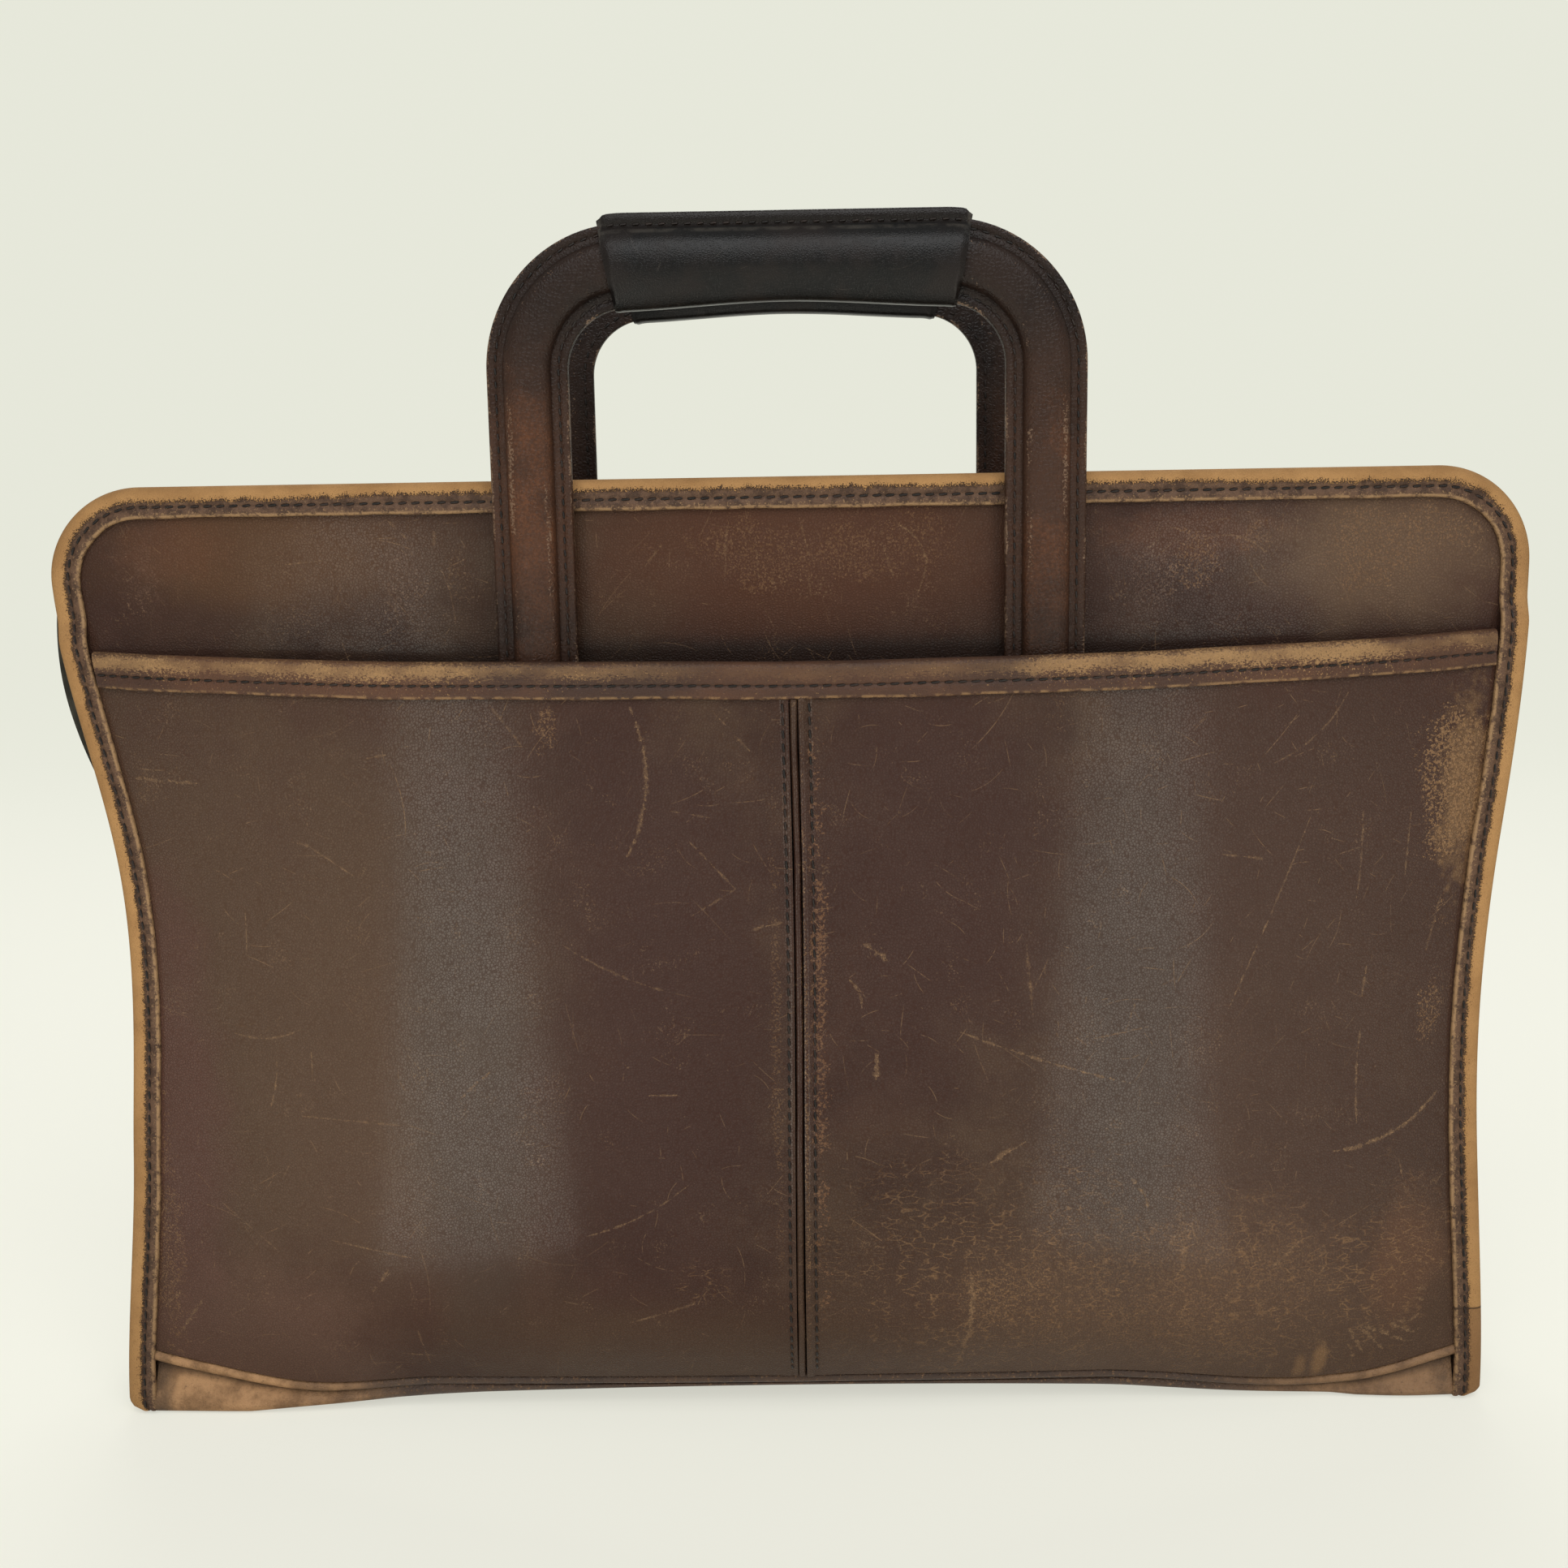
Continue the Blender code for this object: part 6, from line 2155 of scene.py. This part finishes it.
@dataclass
class Zip(Assembly):
    """The open zip round the mouth: two tapes, two rows of teeth, the slider and its pull."""

    form: CaseForm
    inset: float = 7.5 * MM
    foot: float = 192 * MM
    tape: float = 0.8 * MM
    tape_edge: float = 6.3 * MM
    pitch: float = 3.0 * MM
    tip: float = 2.5 * MM
    curl: float = 14.6 * MM
    chain_end: float = 263 * MM
    slider_x: float = 165 * MM
    slider_rise: float = 1.8 * MM
    slider_wall: float = 1.2 * MM

    @property
    def level(self) -> float:
        """Height of the zip's straight top run."""
        return self.form.height - self.inset

    @property
    def eye(self) -> float:
        """Height of the pull's bar over the slider."""
        return self.level + (self.slider_rise + self.slider_wall) + 1.2 * MM

    def build(self) -> None:
        """Builds and hangs both sides of the zip, the slider and the pull."""
        for face in Face:
            self.build_tape(face)
            self.build_teeth(face)
        self.build_slider()
        self.build_pull()

    def curled(self, spot: EdgePoint, depth: float) -> float:
        """How far the tape curls outwards at a place, where it has come loose on the left."""
        if spot.x > 0:
            return 0.0
        share = 1 - (depth - self.tape_edge) / (self.form.inner_depth(spot.x) - self.tape_edge)
        return self.curl * min(1.2, share) * bell((spot.z - 224 * MM) / (56 * MM)) ** 0.4

    def spot(self, at: EdgePoint, depth: float, lift: float, face: Face) -> Point:
        """A point beside the zip's path.

        Args:
            at: The place on the path.
            depth: Distance from the middle plane.
            lift: Distance out of the path.
            face: Which side of the zip.

        Returns:
            The point.
        """
        out = lift + self.curled(at, depth)
        return self.form.settle((at.x + out * at.nx, face.value * depth, at.z + out * at.nz))

    def build_tape(self, face: Face) -> None:
        """One woven tape, a little wavy along its free edge."""
        rows, places = [], []
        for at in self.form.edge(self.inset, self.foot, 2.0 * MM):
            deep = self.form.inner_depth(at.x)
            ripple = 0.25 * MM * drift(at.along, 0.0, 45.0, 15.0 + face.value)
            row = []
            for share in steps(0, 1, 8):
                depth = lerp(deep, self.tape_edge, share)
                lift = ripple * bell(share - 0.6)
                lifts = (self.tape / 2 + lift, lift - self.tape / 2)
                row.append(tuple(self.spot(at, depth, out, face) for out in lifts))
            rows.append(row)
            places.append(at.along / MM)
        shape = Shape().skin(rows, places)
        shape.flesh.clear()
        piece = shape.made(f"{face.label}_tape", self.wardrobe.get(TapeFinish("zip_tape_twill")))
        self.hang(piece, face.body, "zip_tape", f"{face.label}_zip_tape")

    def build_teeth(self, face: Face) -> None:
        """One row of brass teeth, half a pitch off the other row, ending above the tape's loose tail."""
        shape = Shape()
        path = even(self.form.edge(self.inset, self.foot, 2.0 * MM), self.pitch / 2)
        edge, corners = self.tape_edge, ((-1, -0.6), (-0.6, -1), (0.6, -1), (1, -0.6))
        corners += tuple((-u, -v) for u, v in corners)
        for at in path[1 if face is Face.FRONT else 2 : -1 : 2]:
            if at.x < 0 and at.z < self.chain_end:
                continue
            rings = []
            for depth, wide, tall in (
                (edge + 1.0 * MM, 0.55, 0.75), (edge + 0.7 * MM, 0.66, 0.95), (edge - 0.7 * MM, 0.8, 1.15),
                (4.6 * MM, 0.8, 1.15), (3.7 * MM, 0.52, 1.0), (3.0 * MM, 0.64, 0.95), (self.tip, 0.42, 0.7),
            ):
                ring = []
                for u, v in corners:
                    x, y, z = self.spot(at, depth, v * tall * MM, face)
                    ring.append((x + u * wide * MM * at.nz, y, z - u * wide * MM * at.nx))
                rings.append(ring)
            shape.rod(rings)
        piece = shape.made(f"{face.label}_teeth", self.wardrobe.brass, None, 50.0)
        self.hang(piece, face.body, "zip_brass", f"{face.label}_zip_teeth")

    def plan(self) -> list[Pair]:
        """Outline of the slider's plates, rounded from above."""
        end, half = 7 * MM, 7.5 * MM
        corners = [(-end, 0.0), (-end, -half * 0.5), (-end * 0.7, -half * 0.7), (end * 0.15, -half)]
        corners += [(end * 0.75, -half * 0.92), (end, -half * 0.7), (end, 0.0)]
        line = curve_through(corners, 3)
        return line + [(x, -y) for x, y in reversed(line[1:-1])]

    def plate(self, shape: Shape, low: float, high: float) -> None:
        """Adds a slider plate with eased edges between two heights."""
        ease = 0.3 * MM
        sections = []
        for z, inset in ((low, ease), (low + ease, 0.0), (high - ease, 0.0), (high, ease)):
            ring = []
            for x, y in self.plan():
                keep = 1 - inset / math.hypot(x, y)
                ring.append((self.slider_x + x * keep, y * keep, z))
            sections.append(ring)
        shape.rod(sections)

    def build_slider(self) -> None:
        """The slider's two plates, the post between them and the bridge on top."""
        shape = Shape()
        rise, wall = self.slider_rise, self.slider_wall
        self.plate(shape, self.level + rise, self.level + rise + wall)
        self.plate(shape, self.level - rise - wall, self.level - rise)
        post = []
        for z in steps(self.level - rise - 0.3 * MM, self.level + rise + 0.3 * MM, 2):
            post.append([(self.slider_x + 3.4 * MM * u, 1.3 * MM * v, z) for u, v in circle(16)])
        shape.rod(post)
        arc = [(-3.4, -1.4), (-3.3, 0.4), (-2.6, 1.5), (-1.0, 1.85)]
        line = curve_through(arc + [(-x, z) for x, z in reversed(arc)], 3)
        section = ((-1.2, 0.1), (-1.0, 0.42), (1.0, 0.42), (1.2, 0.1), (1.2, -0.3), (-1.2, -0.3))
        strap = []
        for i, (x, z) in enumerate(line):
            a, b = line[max(0, i - 1)], line[min(len(line) - 1, i + 1)]
            length = math.hypot(b[0] - a[0], b[1] - a[1])
            ux, uz = -(b[1] - a[1]) / length, (b[0] - a[0]) / length
            ring = []
            for side, lift in section:
                px, pz = x + lift * ux, z + lift * uz
                ring.append((self.slider_x + px * MM, side * MM, self.eye + pz * MM))
            strap.append(ring)
        shape.rod(strap)
        piece = shape.made("slider_brass", self.wardrobe.brass, None, 35.0)
        self.hang(piece, "slider", "zip_brass", "zip_slider")

    def build_pull(self) -> None:
        """The flat pull with a window at its bar and a round hole at its free end."""
        half, thick = 3.8 * MM, 0.8 * MM
        start, end, cap = 0.8 * MM, -26.2 * MM, half * 0.8
        outline = [(end + cap - cap * v, -cap * u) for u, v in turns(0, math.pi, 14)]
        side = [(-9 * MM, half * 0.86), (-7.2 * MM, half), (-0.2 * MM, half), (start, cap)]
        outline += side + [(x, -y) for x, y in reversed(side)]
        window = [(-0.8, -2.0), (-0.8, 2.0), (-5.6, 2.0), (-6.2, 1.4), (-6.2, -1.4), (-5.6, -2.0)]
        hole = [(-22.6 + 1.5 * u, 1.5 * v) for u, v in circle(14)]
        rings = [outline, *([(x * MM, y * MM) for x, y in cut] for cut in (window, hole))]
        shape = Shape()
        floor, roof, edges = [], [], []
        mesh = bmesh.new()
        for ring in rings:
            walls = [[(self.slider_x + x, y, self.eye + z) for x, y in ring] for z in (-thick, thick)]
            low, high = shape.net(walls, True)
            floor += low
            roof += high
            verts = [mesh.verts.new(point) for point in walls[0]]
            edges += [mesh.edges.new(pair) for pair in zip(verts, verts[1:] + verts[:1])]
        mesh.verts.index_update()
        bmesh.ops.triangle_fill(mesh, use_beauty=True, use_dissolve=False, edges=edges)
        # The fill comes in any order, so it is sorted to make the same mesh each time.
        for fill in sorted(sorted(vert.index for vert in face.verts) for face in mesh.faces):
            shape.faces.append(tuple(floor[i] for i in fill))
            shape.faces.append(tuple(roof[i] for i in fill))
        mesh.free()
        piece = shape.made("pull_brass", self.wardrobe.brass)
        piece.data.shade_flat()
        soft = piece.modifiers.new("eased_edges", "BEVEL")
        soft.width = 0.25 * MM
        soft.segments = 2
        soft.limit_method = "ANGLE"
        self.hang(piece, "pull", "zip_brass", "zip_pull")


@dataclass(frozen=True)
class Studio:
    """The pale sweep that the case stands on, its soft lights and the camera."""

    eye: Point = (2.5 * MM, -541.9 * MM, 287.3 * MM)
    pitch: float = 9.7
    yaw: float = 0.58
    roll: float = -0.97
    focal_pixels: float = 2200.0
    ground: Colour = (0.92, 0.92, 0.83)
    backdrop: Colour = (0.795, 0.805, 0.705)
    near: Colour = (0.93, 0.93, 0.83)
    world: float = 0.36
    strip: Colour = (1.0, 0.95, 0.84)

    def build(self) -> None:
        """Builds the sweep, the lights and the camera."""
        self.build_sweep()
        self.build_world()
        self.lamp("key", (0.15, -1.5, 1.75), (0.0, 0.0, 0.15), (2.2, 1.5), 34.0)
        for hand, power in ((Hand.LEFT, 0.40), (Hand.RIGHT, 0.35)):
            place = (hand.value * 0.1998, -0.3255, 0.1425)
            aim = (hand.value * 0.136, -0.1455, 0.494)
            strip = self.lamp(f"{hand.label}_strip", place, aim, (0.080, 0.513), power)
            strip.color = self.strip
        self.lamp("rear_fill", (0.0, 1.3, 1.5), (0.0, 0.0, 0.2), (1.6, 0.8), 10.0)
        self.build_camera()

    def lamp(self, name: str, place: Point, aim: Point, size: Pair, power: float) -> bpy.types.Light:
        """Adds a soft rectangular lamp.

        Args:
            name: Name of the lamp.
            place: Where it stands.
            aim: The point that it faces.
            size: Its width and height.
            power: Its power in watts.

        Returns:
            The lamp's light.
        """
        light = bpy.data.lights.new(name, "AREA")
        light.shape = "RECTANGLE"
        light.size, light.size_y = size
        light.energy = power
        lamp = linked(name, light)
        lamp.location = place
        lamp.visible_camera = False
        lamp.rotation_euler = (Vector(aim) - Vector(place)).to_track_quat("-Z", "Y").to_euler()
        return light

    def build_sweep(self) -> None:
        """The floor, curving up into the backdrop."""
        line = [(-4.0, 0.0), (-1.0, 0.0), (1.2, 0.0)]
        line += [(1.2 + v, 1.0 - u) for u, v in turns(0, math.pi / 2, 16)[1:]]
        line.append((2.2, 4.0))
        shape = Shape()
        shape.net([[(x, y, z - 0.2 * MM) for x in (-5.0, 0.0, 5.0)] for y, z in line])
        finish = Finish("pale_sweep", Effects())
        finish.put(Base_Color=self.ground, Roughness=0.9, Specular_IOR_Level=0.1)
        w = finish.w
        away = w.split(finish.place)[1]
        path = w.node("ShaderNodeLightPath").outputs
        rays = ("Camera", "Glossy", "Transmission")
        camera, glossy, through = (Flow(w, path[f"Is {ray} Ray"]) for ray in rays)
        seen = w.ease(away, -0.4, 1.3, 0.55, 1.0) * camera.most(glossy).most(through)
        tint = w.mix(w.ease(away, 0.1, 1.7), self.near, self.backdrop)
        glow = w.fed("ShaderNodeEmission", 0, {"Color": tint})
        plain = Flow(w, finish.shader.outputs[0])
        blend = w.fed("ShaderNodeMixShader", 0, {0: seen, 1: plain, 2: glow})
        w.feed(w.tree.nodes["Material Output"].inputs["Surface"], blend)
        shape.made("sweep", finish.material)

    def build_world(self) -> None:
        """Soft even light from all round."""
        world = bpy.data.worlds.new("soft_room")
        world.use_nodes = True
        back = world.node_tree.nodes["Background"]
        back.inputs["Color"].default_value = (1.0, 0.985, 0.95, 1.0)
        back.inputs["Strength"].default_value = self.world
        bpy.context.scene.world = world

    def build_camera(self) -> None:
        """The camera, turned and tilted as the photograph was taken."""
        data = bpy.data.cameras.new("view")
        data.sensor_width = SENSOR
        data.lens = self.focal_pixels * SENSOR / FRAME_PIXELS
        data.clip_start = 0.01
        p, y, r = (math.radians(v) for v in (self.pitch, self.yaw, self.roll))
        forward = Vector((-math.sin(y) * math.cos(p), math.cos(y) * math.cos(p), -math.sin(p)))
        across = Vector((math.cos(y), math.sin(y), 0))
        up = across.cross(forward)
        right = across * math.cos(r) + up * math.sin(r)
        top = up * math.cos(r) - across * math.sin(r)
        turn = Matrix((right, top, -forward)).transposed()
        camera = linked("view", data)
        camera.matrix_world = Matrix.Translation(self.eye) @ turn.to_4x4()
        bpy.context.scene.camera = camera


def dress_hidden(nodes: dict[str, Piece], wardrobe: Wardrobe) -> None:
    """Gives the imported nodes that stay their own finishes.

    Args:
        nodes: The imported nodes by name.
        wardrobe: The finishes.
    """
    fibre = wardrobe.get(Fibre("pressed_fibre"))
    for name, node in nodes.items():
        board = name.endswith("_handle_core") or name == "base_board"
        if board or "_handle_stop_" in name:
            node.data.materials.clear()
            node.data.materials.append(fibre if board else wardrobe.keeper)
            log.info("%s keeps its solid", name)


def main() -> None:
    """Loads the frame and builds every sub-assembly."""
    logging.basicConfig(level=logging.INFO, format="%(message)s")
    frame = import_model()
    bpy.context.scene.view_settings.view_transform = "Standard"
    Studio().build()
    form = CaseForm()
    wardrobe = Wardrobe()
    Base(wardrobe, form).build()
    for face in Face:
        CaseFace(wardrobe, face, form).build()
        Handle(wardrobe, face, HandleForm.of(face, form)).build()
    Zip(wardrobe, form).build()
    dress_hidden(frame["nodes"], wardrobe)


if __name__ == "__main__":
    main()
